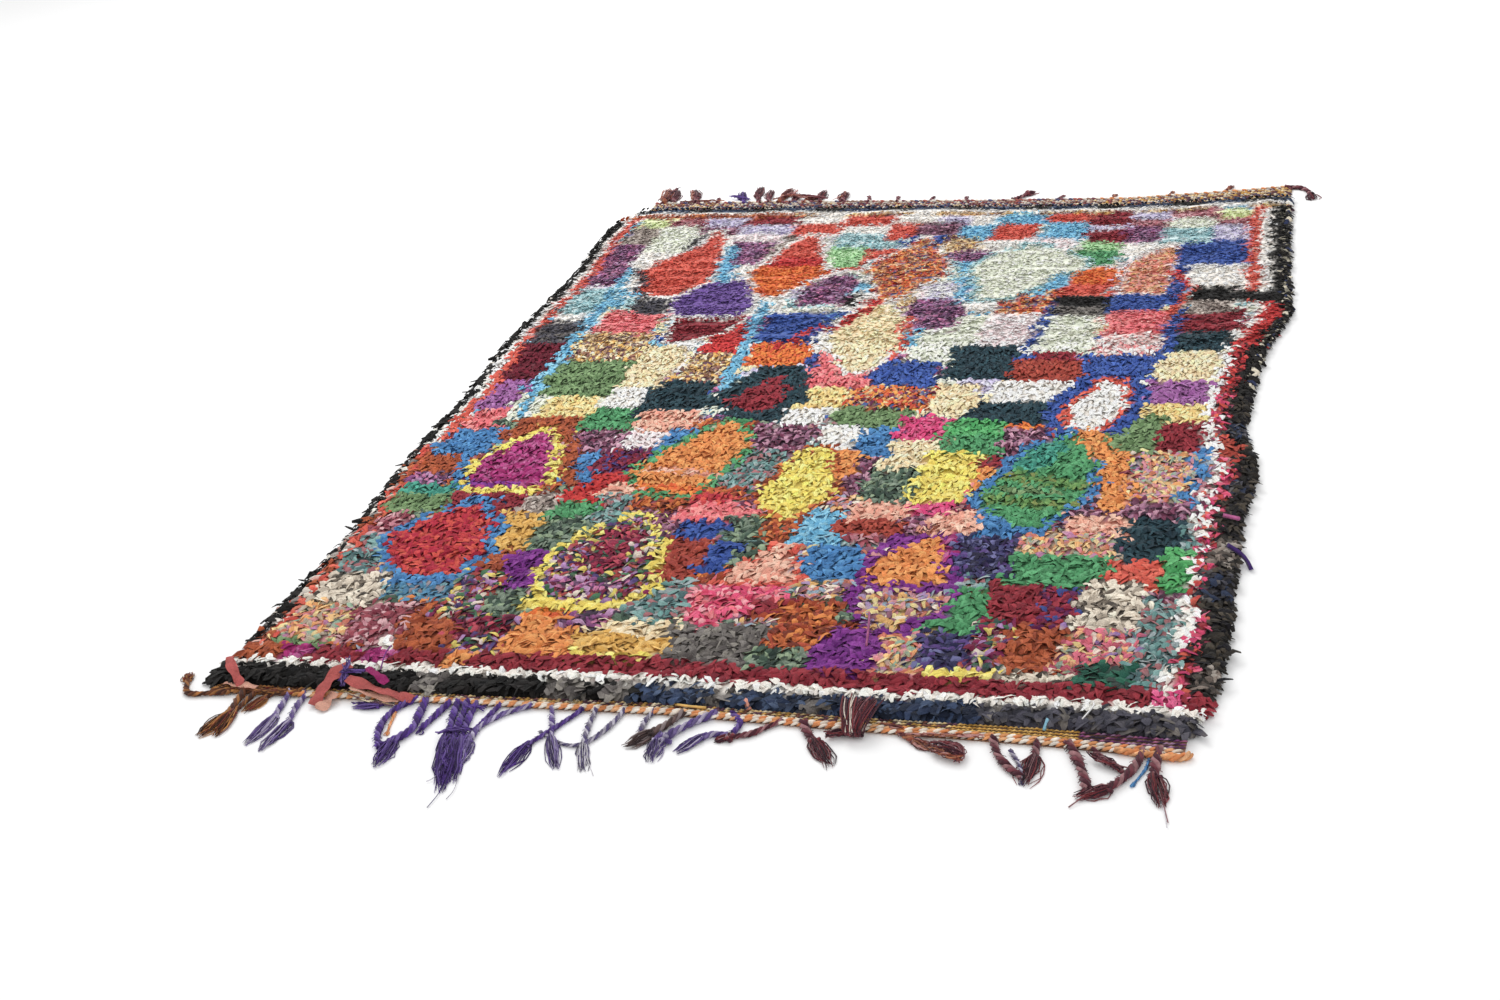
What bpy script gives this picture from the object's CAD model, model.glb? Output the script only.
"""Dressed model of a boucherouite rug: rag pile on a woven ground, end bands and knotted warp ends.

Metres, +Z up. X runs across the rug from left to right, Y along it from the near end to the far
end, and the floor is at Z = 0 under the middle of the pile.
"""

import logging
import math
from dataclasses import dataclass, field
from enum import Enum

import bmesh
import bpy
import numpy as np
from mathutils import Matrix, Vector
from mathutils.bvhtree import BVHTree


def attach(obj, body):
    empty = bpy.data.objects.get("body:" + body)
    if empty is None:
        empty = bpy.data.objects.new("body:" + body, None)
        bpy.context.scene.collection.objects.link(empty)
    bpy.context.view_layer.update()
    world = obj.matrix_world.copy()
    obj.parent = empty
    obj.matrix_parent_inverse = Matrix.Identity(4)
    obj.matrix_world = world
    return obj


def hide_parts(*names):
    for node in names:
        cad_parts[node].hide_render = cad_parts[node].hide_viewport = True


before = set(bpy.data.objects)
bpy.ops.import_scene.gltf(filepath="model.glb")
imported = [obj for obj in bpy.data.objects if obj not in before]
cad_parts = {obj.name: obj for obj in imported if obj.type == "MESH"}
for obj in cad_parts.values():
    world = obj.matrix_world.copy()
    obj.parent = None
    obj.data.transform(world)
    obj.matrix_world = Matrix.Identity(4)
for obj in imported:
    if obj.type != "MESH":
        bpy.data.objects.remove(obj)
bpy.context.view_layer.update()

LOG = logging.getLogger("rug")
BODY = "root"
BAKE_MAP = "OFBake"
DYE = "dye"
CM = 0.01
LOWEST = 0.0003
WASHED = 0.90
LUMINANCE = (0.2126, 0.7152, 0.0722)
SEED = 11


class Yarn(Enum):
    """A rag or wool: the dyes that its strips are cut from, as red, green and blue pairs of digits."""

    CORAL = ("D25442", "CA4A3C", "DC6450")
    RED = ("C42C2E", "B5282C", "D03A34")
    CRIMSON = ("B4203A", "A51C36", "C63A3E", "D05040")
    WINE = ("8C2632", "7C1E2C", "9C2E3A")
    BURGUNDY = ("681228", "5A0F22", "761A30")
    BRICK = ("A23C30", "943428", "B04A38")
    RUST = ("A84E28", "B85C32", "944226")
    ORANGE = ("E48E44", "EA9E54", "D87E3A")
    FLAME = ("E4702A", "EA842E", "D45426")
    SALMON = ("E8AA92", "EEBEA6", "E0947E")
    PINK = ("E8747C", "DE6068", "EE908C")
    ROSE = ("D84078", "CC3470", "E46492")
    MAGENTA = ("A01E68", "8A1A5E", "B83C84", "B85C90")
    PURPLE = ("7C2A88", "6C247A", "8C3C96")
    VIOLET = ("6C4C98", "5C3E88", "7E5EA8")
    MAUVE = ("9C5C9C", "8C4E8C", "AA70AA")
    LILAC = ("C0B6D6", "B2A8CC", "D6D0E2", "C8C8D6")
    ROYAL = ("33529E", "2A4690", "4464B0")
    STEEL = ("3E7CB6", "3870A6", "5090C6")
    SKY = ("6CB2D2", "58A4CA", "8AC6DE")
    AQUA = ("AACED0", "8CBAC0", "CEE0E0", "7AA6AE")
    NAVY = ("28344E", "344462", "1C2436", "42526E")
    TEAL = ("223C46", "2C4A54", "1A2E38")
    SEA = ("34907C", "46A48C", "2A7A6A")
    GREEN = ("489660", "56A46C", "3C8050")
    GRASS = ("48A65A", "5CB26C", "3A9450")
    LEAF = ("A4D098", "B6DAAA", "8CC084")
    PINE = ("1E5848", "2A6A54", "34403C")
    MOSS = ("6A8858", "5A784A", "7C9A68")
    YELLOW = ("ECD654", "E2C84C", "F2E074")
    MUSTARD = ("DEAA4A", "D09C40", "E6B860")
    CORN = ("EECE84", "F2DA9C", "E8C070")
    SAND = ("EED6AA", "E8CC9C", "F2E0BC")
    CREAM = ("F4ECE2", "EEE6DC", "F8F2EA")
    CELADON = ("DEE2CE", "D4DAC4", "E8EADA")
    BLUSH = ("F0DCDC", "EAD2D4", "F4E6E4")
    LIME = ("D8E6A6", "CCDC98", "E2ECBA")
    GREY = ("7A7470", "68625E", "8A847C", "544E4C")
    SLATE = ("45444E", "55525A", "35343E", "6A645F", "4E4C58")
    BLACK = ("1A1816", "242120", "131212")
    SOOT = ("1E1B18", "2C2722", "16141A", "4A4238", "1A1816")
    EDGE = ("1A1816", "262320", "D8CEB8", "2A3458", "9A9482", "161414")
    PLUM = ("7A3A56", "602C44", "9E6A86", "C492A6", "40283A")
    HEATHER = ("8A4A80", "5A3658", "B68AB0", "3C2E40", "C07098")
    ROSEWOOD = ("9A4652", "B67480", "7A2E3E", "D2A4A8")
    BARK = ("8E8078", "AA9C92", "6C5C56", "C6BAB0")
    OCHRE = ("DCA850", "ECCA8A", "8A5A4A", "6C485A", "F0DEBA")
    FIRE = ("E4722A", "C43C2A", "EAA242", "6C2C50", "3E5A8C", "F2CC94", "DA5A30")
    HARBOUR = ("5E8C88", "7CA4A0", "4A6A6C", "9CAAAC", "A06468")
    GARDEN = ("3E6C4A", "D8C458", "7C1E4C", "A87CAE", "D8C8B8", "2C4A42", "A8423E", "6C1A3A", "4A3A6C")
    CONFETTI = ("E8D8C4", "DCA860", "C07058", "8CA0B0", "A488B0", "D8C480", "CC8A90", "8A5A6A")
    SALT = ("E8DCC8", "D6C8B4", "6E6256", "E0D2BE", "463E38", "E6DAC6", "B6A896")
    INK = ("2E2C52", "3E3C6A", "5A4280", "28263E", "6C6C9A")
    FERN = ("566C5A", "3E5446", "7C8C7A", "2E3C36", "8A9E7E")
    PEACH = ("E8947A", "DA6C5C", "F2C2AA", "BA7470", "C8A25A")
    FLECK = ("F2E8E2", "F2E8E2", "EEDCD8", "E8B0AC", "D07074")
    BLOOM = ("E4587E", "E8747C", "D8406C", "F0A0A8", "C83458")
    MEADOW = ("E4A060", "E8B878", "8CA890", "CA6E5A", "B0A08C", "D88890", "E8D090", "B87AA0")
    FERN_BRIGHT = ("5A8A48", "6E9A50", "4A7A44", "7A8444")
    RAG_CORAL = ("C25A56",)
    POSY = ("D86A80", "E8A878", "B04A5E", "8C6AA0", "D8C07A", "C85A6A", "7A8A7A", "E8D0C0")
    BEET = ("7C1E3C", "A0284A", "5A1430", "3A5A48", "C04A5A", "8A2440")
    HEM_RED = ("C42C2E", "A82430", "241C1A", "C8403A", "7A1E28", "B8323A")
    HEM_MIX = ("B43A30", "D0486A", "8C2632", "D85C48", "2A2422", "D8406C", "E4688A", "B02A5A")
    LAGOON = ("4A86AC", "5C94B0", "6E9AA2", "3E7090", "8A7C80")
    HEM_PALE = ("E4DCD0", "D2C8BC", "A8A098", "ECE4DA", "8A8480", "D8A89C")
    TAUPE = ("6A5E56", "8A7C72", "4E4640", "A49A90", "2E2A28")
    HEM_SLATE = ("2E2C34", "45444E", "1E1C20", "5A5656", "28344E")
    EMBER = ("C0602A", "9A3E20", "DA8038", "702E1E", "B04A30")
    BERRY = ("8A1E3A", "A43040", "5A1A4A", "3A4A8C", "6A1830")
    TWIST_PURPLE = ("44286E", "5A3A90", "70589C", "341E58")
    TWIST_LAVENDER = ("5A4682", "78669A", "ACA2BC", "402F64")
    TWIST_LILAC = ("7A7288", "B4AEBC", "564C74", "D2CED4")
    TWIST_MAROON = ("4E2430", "6E3640", "96686C", "3A1C28", "7A2E34")
    TWIST_RUST = ("8A4430", "A86848", "6A3A38", "C8908A", "5A2A2E")
    TWIST_UMBER = ("4E3C3A", "6A5450", "8C7C7C", "3A2C2E")
    TWIST_BROWN = ("6A3C24", "9A6230", "4A2A20", "B87C3C", "7A3228")
    TWIST_ORANGE = ("E0985E", "E8AC78", "D8844A", "DE8E54")
    TWIST_WHITE = ("EEE4D6", "E2D4C4")
    SPECKLE = ("7E4650", "E6DED2", "9C7664", "5A5A80", "C4ACA0", "A85A50", "DCCEBC")


YARNS = tuple(Yarn)


@dataclass(frozen=True)
class BlockSet:
    """Blocks of one yarn, each as left, right, near and far edge in centimetres."""

    yarn: Yarn
    spans: tuple[tuple[float, float, float, float], ...]


@dataclass(frozen=True)
class Medallion:
    """A lozenge knotted over the blocks: rows of along, left and right in centimetres."""

    yarn: Yarn
    outline: Yarn
    outline_width: float
    rows: tuple[tuple[float, float, float], ...]


@dataclass(frozen=True)
class Stripe:
    """A slanting line of knots from one place to another, in centimetres."""

    yarn: Yarn
    start: tuple[float, float]
    end: tuple[float, float]
    width: float


BLOCKS = (
    BlockSet(Yarn.LIME, ((-67, -60, 83, 90), (56, 64, 85, 90))),
    BlockSet(Yarn.ROSEWOOD, ((-60, -52, 84, 91), (47, 56, 85, 92), (39, 47, 79, 85), (56, 63, 80, 85))),
    BlockSet(Yarn.ROSEWOOD, ((-69, -60, -52, -43),)),
    BlockSet(Yarn.LILAC, ((-52, -43, 85, 91), (0, 6, 83, 91), (39, 47, 84, 91), (-44, -31, 80, 86))),
    BlockSet(Yarn.LILAC, ((31, 39, 79, 84), (56, 63, 73, 81), (20, 27, 3, 10), (-20, -10, 9, 15))),
    BlockSet(Yarn.WINE, ((-43, -31, 85, 93), (31, 39, 82, 92), (31, 39, 73, 79), (53, 65, 29, 39))),
    BlockSet(Yarn.WINE, ((31, 38, 16, 22), (56, 63, -17, -6), (30, 36, -25, -20), (0, 11, -71, -66))),
    BlockSet(Yarn.WINE, ((-57, -43, -45, -36), (37, 46, -71, -57))),
    BlockSet(Yarn.CREAM, ((-31, -21, 84, 91), (-10, 0, 84, 93), (6, 12, 82, 92), (-21, -10, 78, 84))),
    BlockSet(Yarn.CREAM, ((-61, -55, 50, 70), (10, 19, 69, 75), (39, 50, 64, 74), (53, 64, 49, 60))),
    BlockSet(Yarn.CREAM, ((-29, -22, 40, 52), (-10, -3, 38, 48), (14, 22, 37, 46), (26, 40, 0, 8))),
    BlockSet(Yarn.CREAM, ((-67, -58, 33, 38), (-43, -36, -5, 4), (-9, 0, -10, -4), (0, 7, -19, -10))),
    BlockSet(Yarn.CREAM, ((-40, -33, 14, 27), (-37, -28, 56, 66), (-56, -50, 62, 72), (24, 30, 36, 42))),
    BlockSet(Yarn.CORAL, ((-21, -10, 84, 90), (22, 31, 83, 91), (-31, -21, 78, 85), (-10, -4, 74, 84))),
    BlockSet(Yarn.CORAL, ((12, 21, 74, 83), (-12, -6, 64, 70), (-16, -11, 59, 65), (30, 40, 45, 52))),
    BlockSet(Yarn.CORAL, ((52, 61, -61, -51),)),
    BlockSet(Yarn.SKY, ((12, 22, 83, 89), (5, 12, 74, 83), (22, 31, 74, 84), (5, 12, 23, 31))),
    BlockSet(Yarn.SKY, ((5, 13, -50, -39), (27, 31, 46, 56))),
    BlockSet(Yarn.BARK, ((-68, -61, 74, 84), (54, 63, 37, 44), (-43, -36, -44, -36), (-33, -29, 66, 78))),
    BlockSet(Yarn.CELADON, ((-61, -50, 70, 85), (47, 56, 79, 85), (8, 20, 14, 36), (30, 40, 20, 38))),
    BlockSet(Yarn.CELADON, ((-60, -53, -9, 1),)),
    BlockSet(Yarn.PLUM, ((-52, -43, 79, 85), (-4, 5, 76, 84), (-43, -34, -21, -13), (-12, -1, -20, -10))),
    BlockSet(Yarn.PLUM, ((31, 38, -20, -10), (8, 13, -34, -20), (20, 25, -49, -40), (47, 63, -40, -34))),
    BlockSet(Yarn.ROSEWOOD, ((-57, -46, -84, -72),)),
    BlockSet(Yarn.BLUSH, ((-44, -31, 74, 80), (19, 29, 66, 75), (50, 54, 60, 70), (19, 30, 23, 37))),
    BlockSet(Yarn.BLUSH, ((-34, -26, -20, -13),)),
    BlockSet(Yarn.ROYAL, ((-5, 3, 72, 77), (52, 64, 60, 73), (41, 51, 37, 46), (-23, -11, 24, 38))),
    BlockSet(Yarn.ROYAL, ((3, 15, 5, 16), (39, 52, 8, 20), (-14, -6, -49, -43), (-8, -2, -60, -50))),
    BlockSet(Yarn.HEATHER, ((-70, -61, 52, 74), (-43, -33, 62, 75), (39, 46, 72, 80), (3, 14, 30, 44))),
    BlockSet(Yarn.HEATHER, ((-54, -47, 0, 7), (-69, -60, -34, -30), (-20, -10, 42, 56))),
    BlockSet(Yarn.AQUA, ((-20, -11, 70, 79), (-11, -5, 70, 75), (46, 56, 71, 79), (-68, -58, 38, 50))),
    BlockSet(Yarn.LEAF, ((-20, -12, 60, 71), (31, 39, 68, 73))),
    BlockSet(Yarn.OCHRE, ((3, 10, 67, 76), (-5, 3, 36, 50), (-58, -43, 16, 28), (-33, -24, 6, 20))),
    BlockSet(Yarn.HEATHER, ((6, 17, 63, 69),)),
    BlockSet(Yarn.GREEN, ((31, 39, 60, 68), (-44, -34, -13, -4), (21, 31, -20, -13), (-37, -30, -44, -38))),
    BlockSet(Yarn.GREEN, ((38, 53, -60, -50), (29, 39, -74, -62))),
    BlockSet(Yarn.BLACK, ((55, 63, 43, 49), (30, 41, 40, 45), (-10, -7, 41, 47))),
    BlockSet(Yarn.FLAME, ((32, 40, 51, 59), (-22, -10, 14, 24), (30, 37, -10, -7), (-30, -20, -74, -70))),
    BlockSet(Yarn.FIRE, ((20, 31, 37, 48), (0, 17, -4, 6))),
    BlockSet(Yarn.GREY, ((30, 41, 36, 40), (-6, 9, -85, -74))),
    BlockSet(Yarn.PINK, ((41, 53, 28, 38), (-57, -44, 28, 39), (-8, 3, 5, 20), (-66, -60, -13, -5))),
    BlockSet(Yarn.PINK, ((28, 33, -36, -30), (-16, -3, -44, -38))),
    BlockSet(Yarn.FLECK, ((41, 52, 19, 28),)),
    BlockSet(Yarn.TEAL, ((53, 65, 21, 29), (16, 28, 9, 23), (22, 38, -8, 0), (-36, -24, -8, 7))),
    BlockSet(Yarn.TEAL, ((53, 63, -52, -39),)),
    BlockSet(Yarn.SAND, ((52, 64, 9, 21), (16, 24, -4, 7), (-43, -34, 4, 22), (12, 21, -25, -15))),
    BlockSet(Yarn.MAUVE, ((52, 63, 0, 9), (-68, -60, -5, 7))),
    BlockSet(Yarn.CORN, ((52, 63, -7, 0), (-8, 1, -4, 5), (-54, -44, -9, 1))),
    BlockSet(Yarn.MOSS, ((48, 56, -18, -5), (1, 14, -10, -3), (-58, -43, 1, 16), (-67, -56, -44, -38))),
    BlockSet(Yarn.MOSS, ((-66, -56, -87, -81),)),
    BlockSet(Yarn.BRICK, ((28, 40, 8, 17), (-15, -7, -64, -49), (11, 21, -47, -41))),
    BlockSet(Yarn.SLATE, ((-68, -59, 22, 34), (-53, -45, 37, 45))),
    BlockSet(Yarn.BURGUNDY, ((-69, -58, 7, 23),)),
    BlockSet(Yarn.RED, ((-32, -25, 19, 34), (-38, -28, -39, -27))),
    BlockSet(Yarn.RUST, ((-57, -44, -18, -8), (-69, -60, -30, -23), (-43, -37, -63, -54))),
    BlockSet(Yarn.RUST, ((-47, -37, -86, -74), (43, 50, -83, -70))),
    BlockSet(Yarn.SALMON, ((-34, -23, -13, -5), (-31, -25, -37, -32), (12, 22, -42, -36))),
    BlockSet(Yarn.SALMON, ((24, 33, -46, -38), (46, 55, -46, -39))),
    BlockSet(Yarn.STEEL, ((-67, -57, -23, -13), (-27, -21, -24, -12), (-40, -34, -33, -21))),
    BlockSet(Yarn.STEEL, ((7, 13, -21, -10), (33, 40, -47, -40), (9, 18, -60, -50))),
    BlockSet(Yarn.LAGOON, ((-54, -43, -71, -63),)),
    BlockSet(Yarn.SEA, ((-68, -57, -38, -34),)),
    BlockSet(Yarn.BERRY, ((-36, -27, -28, -20), (46, 51, -71, -60))),
    BlockSet(Yarn.HARBOUR, ((-30, -24, -45, -36), (-12, -3, -32, -20), (-69, -58, -65, -52))),
    BlockSet(Yarn.HARBOUR, ((-14, -5, -76, -62), (60, 66, -86, -62))),
    BlockSet(Yarn.CRIMSON, ((-15, -8, -38, -34),)),
    BlockSet(Yarn.FERN, ((-6, 0, -51, -42), (12, 21, -36, -25), (-38, -30, -57, -44), (-38, -29, -75, -65))),
    BlockSet(Yarn.FERN, ((8, 16, -86, -79),)),
    BlockSet(Yarn.ROSE, ((13, 21, -15, -6), (21, 28, -40, -35))),
    BlockSet(Yarn.GRASS, ((21, 31, -13, -7), (61, 65, -60, -48))),
    BlockSet(Yarn.ORANGE, ((5, 9, -30, -18), (28, 34, -30, -24), (-30, -17, -87, -74))),
    BlockSet(Yarn.YELLOW, ((20, 29, -36, -19), (-18, -6, -87, -83), (33, 43, -87, -81))),
    BlockSet(Yarn.PURPLE, ((20, 30, -53, -46), (-38, -31, -67, -55))),
    BlockSet(Yarn.MEADOW, ((54, 63, -34, -17), (25, 33, -87, -72), (40, 54, -51, -44))),
    BlockSet(Yarn.POSY, ((50, 60, -83, -70),)),
    BlockSet(Yarn.INK, ((30, 40, -58, -46), (31, 38, -82, -73))),
    BlockSet(Yarn.SAND, ((-17, -5, -79, -74),)),
    BlockSet(Yarn.HEATHER, ((-22, -16, -77, -71),)),
    BlockSet(Yarn.MUSTARD, ((-44, -37, -55, -43), (-19, -4, -83, -78))),
    BlockSet(Yarn.SALT, ((-67, -54, -73, -64), (51, 60, -71, -58), (43, 53, -87, -82))),
    BlockSet(Yarn.GARDEN, ((-43, -36, -75, -62), (-38, -29, -88, -74))),
    BlockSet(Yarn.MEADOW, ((-69, -56, -83, -73),)),
    BlockSet(Yarn.GARDEN, ((38, 43, -82, -70),)),
    BlockSet(Yarn.EMBER, ((9, 18, -80, -67),)),
    BlockSet(Yarn.PINE, ((53, 61, -87, -79),)),
)

STRIPES = (
    Stripe(Yarn.SKY, (-42, 71), (-38, 53), 2.6),
    Stripe(Yarn.SKY, (-60, 60), (-58.5, 10), 2.2),
    Stripe(Yarn.SKY, (-59, 10), (-57, -8), 1.8),
    Stripe(Yarn.SKY, (-26, 42), (-22, 5), 2.2),
    Stripe(Yarn.SKY, (9.5, 62), (12.5, 44), 2.0),
    Stripe(Yarn.SKY, (30, 55), (26, 45), 2.4),
    Stripe(Yarn.ROYAL, (51.5, 70), (52, 42), 2.8),
    Stripe(Yarn.ROYAL, (53.5, 38), (53, 18), 2.0),
    Stripe(Yarn.ROYAL, (30, 40), (29.5, 21), 1.4),
    Stripe(Yarn.RED, (51, 56), (54.5, 49), 2.0),
    Stripe(Yarn.CORAL, (54.5, 50), (52.5, 37), 1.6),
    Stripe(Yarn.RED, (-4, 43), (-9, 31), 2.2),
    Stripe(Yarn.RED, (-12, 32), (-17, 22), 1.6),
    Stripe(Yarn.CORAL, (4.5, 36), (6, 17), 1.4),
    Stripe(Yarn.STEEL, (-60, -22), (-58, -34), 2.2),
    Stripe(Yarn.RUST, (-43, -17), (-38, -33), 2.4),
    Stripe(Yarn.ORANGE, (45, -11), (50, -22), 4.0),
    Stripe(Yarn.ORANGE, (50, -20), (52, -36), 4.6),
    Stripe(Yarn.STEEL, (63, -16), (63, -34), 2.0),
    Stripe(Yarn.CREAM, (-47, -83), (-49, -88), 2.4),
    Stripe(Yarn.SLATE, (-58, 60), (-52, 44), 1.6),
    Stripe(Yarn.SLATE, (-50, 80), (-52, 72), 1.6),
    Stripe(Yarn.MAGENTA, (30, -54), (29, -46), 1.8),
    Stripe(Yarn.YELLOW, (-30, -70.6), (-17, -70.6), 3.0),
)

MEDALLIONS = (
    Medallion(Yarn.CORAL, Yarn.CREAM, 1.6, (
        (81, -47.5, -46.5), (75, -49, -44.5), (69, -51.5, -44), (65, -55.5, -42.5),
        (58, -57, -41), (52, -55, -41.5), (48, -52.5, -44.5), (46, -51, -46))),
    Medallion(Yarn.FLAME, Yarn.CREAM, 1.8, (
        (64, -31, -20), (61, -32.5, -18.5), (58, -33.5, -17.5), (54, -32, -19.5),
        (50, -30.5, -22.5), (46, -29, -24.5))),
    Medallion(Yarn.CORAL, Yarn.CREAM, 1.6, (
        (78, -26.5, -25), (73, -29, -23.5), (68, -30, -22), (63, -31, -19.5))),
    Medallion(Yarn.RED, Yarn.RED, 0.3, ((65.5, -30, -20.5), (61.5, -31, -19.8))),
    Medallion(Yarn.FIRE, Yarn.CREAM, 1.2, (
        (76, -2, -1), (70, -4.5, 2.5), (65, -7, 5), (60, -9.5, 6.5), (55, -8, 6), (50, -5.5, 3),
        (44, -4, 0))),
    Medallion(Yarn.CELADON, Yarn.AQUA, 1.4, (
        (71, 20, 23.5), (67, 15, 29), (63, 12.5, 33), (59, 11.5, 33.5), (54, 13, 30), (49, 14.5, 25),
        (44, 15.5, 21))),
    Medallion(Yarn.PEACH, Yarn.BLUSH, 1.0, (
        (69, 48.5, 49.5), (65, 44.5, 50), (59, 41.5, 50), (50, 41.5, 50), (46, 42, 49.5))),
    Medallion(Yarn.WINE, Yarn.CREAM, 1.0, ((37, -44, -27.5), (33, -41, -28), (29, -40.5, -30), (24, -40, -37))),
    Medallion(Yarn.VIOLET, Yarn.CREAM, 1.2, (
        (53.5, -39, -33.5), (50, -42.5, -31.5), (46, -44.5, -29.5), (41, -44.5, -28.5), (36, -42, -30))),
    Medallion(Yarn.SAND, Yarn.CREAM, 1.0, (
        (42, -4, 0), (38, -6.5, 2.5), (34, -9, 4.5), (28, -9.8, 5.2), (22, -7, 5), (16, -4, 3.5),
        (12, -2, 1))),
    Medallion(Yarn.WINE, Yarn.TEAL, 4.2, (
        (9.5, -14.5, -12.5), (6, -16.5, -11.5), (2, -18, -10.5), (-1, -20.5, -10), (-3, -19, -11),
        (-5, -14, -13))),
    Medallion(Yarn.ROYAL, Yarn.ROYAL, 0.4, (
        (11, 41, 50), (5, 39, 51.5), (0, 37, 52.5), (-5, 36.5, 52), (-9, 38, 50.5), (-13.5, 40, 47))),
    Medallion(Yarn.CREAM, Yarn.CORAL, 1.5, (
        (8.5, 44.5, 46.5), (5, 43, 48), (0, 41, 49), (-4, 40, 48.5), (-8, 41, 47), (-11, 42.5, 44))),
    Medallion(Yarn.MAGENTA, Yarn.YELLOW, 1.9, (
        (-13.5, -50, -49), (-17, -52.5, -47), (-22, -54.5, -45), (-27, -56, -43.5), (-31, -57, -42),
        (-34.5, -55.5, -44))),
    Medallion(Yarn.CRIMSON, Yarn.STEEL, 2.0, (
        (-40, -51.5, -49.5), (-44, -54.5, -47), (-48, -58.5, -45), (-52, -61.5, -44),
        (-56, -60, -42.5), (-60, -56.5, -44.5), (-64, -53.5, -46))),
    Medallion(Yarn.ORANGE, Yarn.GREEN, 1.6, (
        (-9, -17.5, -15), (-13, -20, -13), (-18, -23, -11), (-22, -25, -11.5), (-27, -27.5, -13),
        (-31, -26.5, -13.5), (-35, -22, -16))),
    Medallion(Yarn.YELLOW, Yarn.EMBER, 1.2, (
        (-18, 0, 2.5), (-22, -1.5, 4.5), (-27, -3, 6), (-32, -4, 7.2), (-36, -4, 7.4), (-39, -1.5, 5),
        (-42, 1, 3))),
    Medallion(Yarn.GREEN, Yarn.STEEL, 2.0, (
        (-11.5, 42, 44.5), (-15, 38, 46.5), (-20, 35, 46.5), (-25, 34, 47.5), (-30, 32, 47),
        (-35, 31, 46), (-39, 34, 44.5), (-43, 38.5, 41))),
    Medallion(Yarn.GARDEN, Yarn.YELLOW, 1.7, (
        (-43, -22.5, -20.5), (-47, -26, -18), (-51, -29.5, -15.5), (-56, -30.5, -14.5),
        (-62, -30.5, -13.5), (-66, -29.5, -13.5), (-69, -26, -17))),
    Medallion(Yarn.BLOOM, Yarn.BLOOM, 0.4, (
        (-61, -3, 9), (-65, -5.5, 8.5), (-69, -5.5, 5), (-72, -4, 3), (-75, -2, 1))),
    Medallion(Yarn.SALMON, Yarn.CORAL, 0.8, (
        (-50.5, 3.5, 5.5), (-54, 1.5, 7), (-58, -0.5, 8.5), (-62, -3, 9))),
    Medallion(Yarn.CONFETTI, Yarn.PURPLE, 1.5, (
        (-60, 19.5, 31.5), (-64, 19, 32), (-69, 20.5, 31), (-73, 24, 28))),
    Medallion(Yarn.ORANGE, Yarn.PURPLE, 1.5, (
        (-47, 26, 28.5), (-51, 22, 30), (-55, 19.5, 30), (-61, 19.5, 31.5))),
    Medallion(Yarn.PURPLE, Yarn.PURPLE, 0.4, (
        (-74, 19.5, 23.5), (-78, 17, 26), (-82, 16.5, 25.5), (-86, 17, 25))),
)

# Lines that cross a finished lozenge.
LATE_STRIPES = (
    Stripe(Yarn.FERN_BRIGHT, (33, -27), (47, -29), 3.0),
    Stripe(Yarn.FERN_BRIGHT, (32, -34), (45, -36), 2.6),
    Stripe(Yarn.MOSS, (35, -31.5), (44, -32.5), 1.6),
    Stripe(Yarn.SEA, (40, -16.5), (37, -23), 5.0),
    Stripe(Yarn.PURPLE, (-56, -33), (-47, -33.5), 1.6),
    Stripe(Yarn.RED, (-31, 64), (-19.5, 64), 3.0),
    Stripe(Yarn.FLAME, (-26, -33), (-16, -33), 2.6),
    Stripe(Yarn.SALMON, (-25, -27), (-14, -28), 2.0),
    Stripe(Yarn.BEET, (-22, -50), (-22, -57), 7.5),
    Stripe(Yarn.BEET, (-40, -79), (-32, -77), 5.0),
    Stripe(Yarn.HEATHER, (-27, -64), (-17, -65), 3.0),
)

# Patches in the right border: yarn, near and far edge, and how far in from the rim they start and end.
HEM_PATCHES = (
    (Yarn.BRICK, -19.0, -12.0, 2.0, 4.8),
    (Yarn.HEM_SLATE, -12.0, -6.0, 0.0, 2.4),
    (Yarn.HEM_SLATE, -31.0, -26.0, 0.6, 2.6),
    (Yarn.TAUPE, -52.0, -44.0, 0.0, 3.2),
    (Yarn.HEM_SLATE, -62.0, -53.5, 0.4, 3.8),
    (Yarn.TAUPE, -84.0, -78.0, 0.0, 1.8),
)

# Yarns that fill whatever the blocks leave open, by how far along the rug the zone lies.
FAR_FILL = (Yarn.CREAM, Yarn.BLUSH, Yarn.SKY, Yarn.LILAC, Yarn.CELADON, Yarn.AQUA)
MIDDLE_FILL = (Yarn.CREAM, Yarn.ROYAL, Yarn.SAND, Yarn.HEATHER, Yarn.SKY, Yarn.CELADON)
NEAR_FILL = (Yarn.PLUM, Yarn.CONFETTI, Yarn.FERN, Yarn.ROSEWOOD, Yarn.EMBER, Yarn.HARBOUR, Yarn.GARDEN)

# Outer reach of the pile along each long side, as along and across.
LEFT_SIDE = (
    (-0.94, -0.700),
    (-0.76, -0.706),
    (-0.50, -0.702),
    (-0.33, -0.716),
    (-0.15, -0.727),
    (0.02, -0.721),
    (0.24, -0.742),
    (0.48, -0.735),
    (0.62, -0.731),
    (0.78, -0.748),
    (0.90, -0.742),
    (0.95, -0.728),
)
RIGHT_SIDE = (
    (-0.94, 0.702),
    (-0.88, 0.718),
    (-0.76, 0.727),
    (-0.54, 0.721),
    (-0.38, 0.716),
    (-0.22, 0.726),
    (-0.08, 0.695),
    (0.10, 0.696),
    (0.24, 0.706),
    (0.39, 0.736),
    (0.60, 0.720),
    (0.80, 0.708),
    (0.95, 0.702),
)

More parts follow.
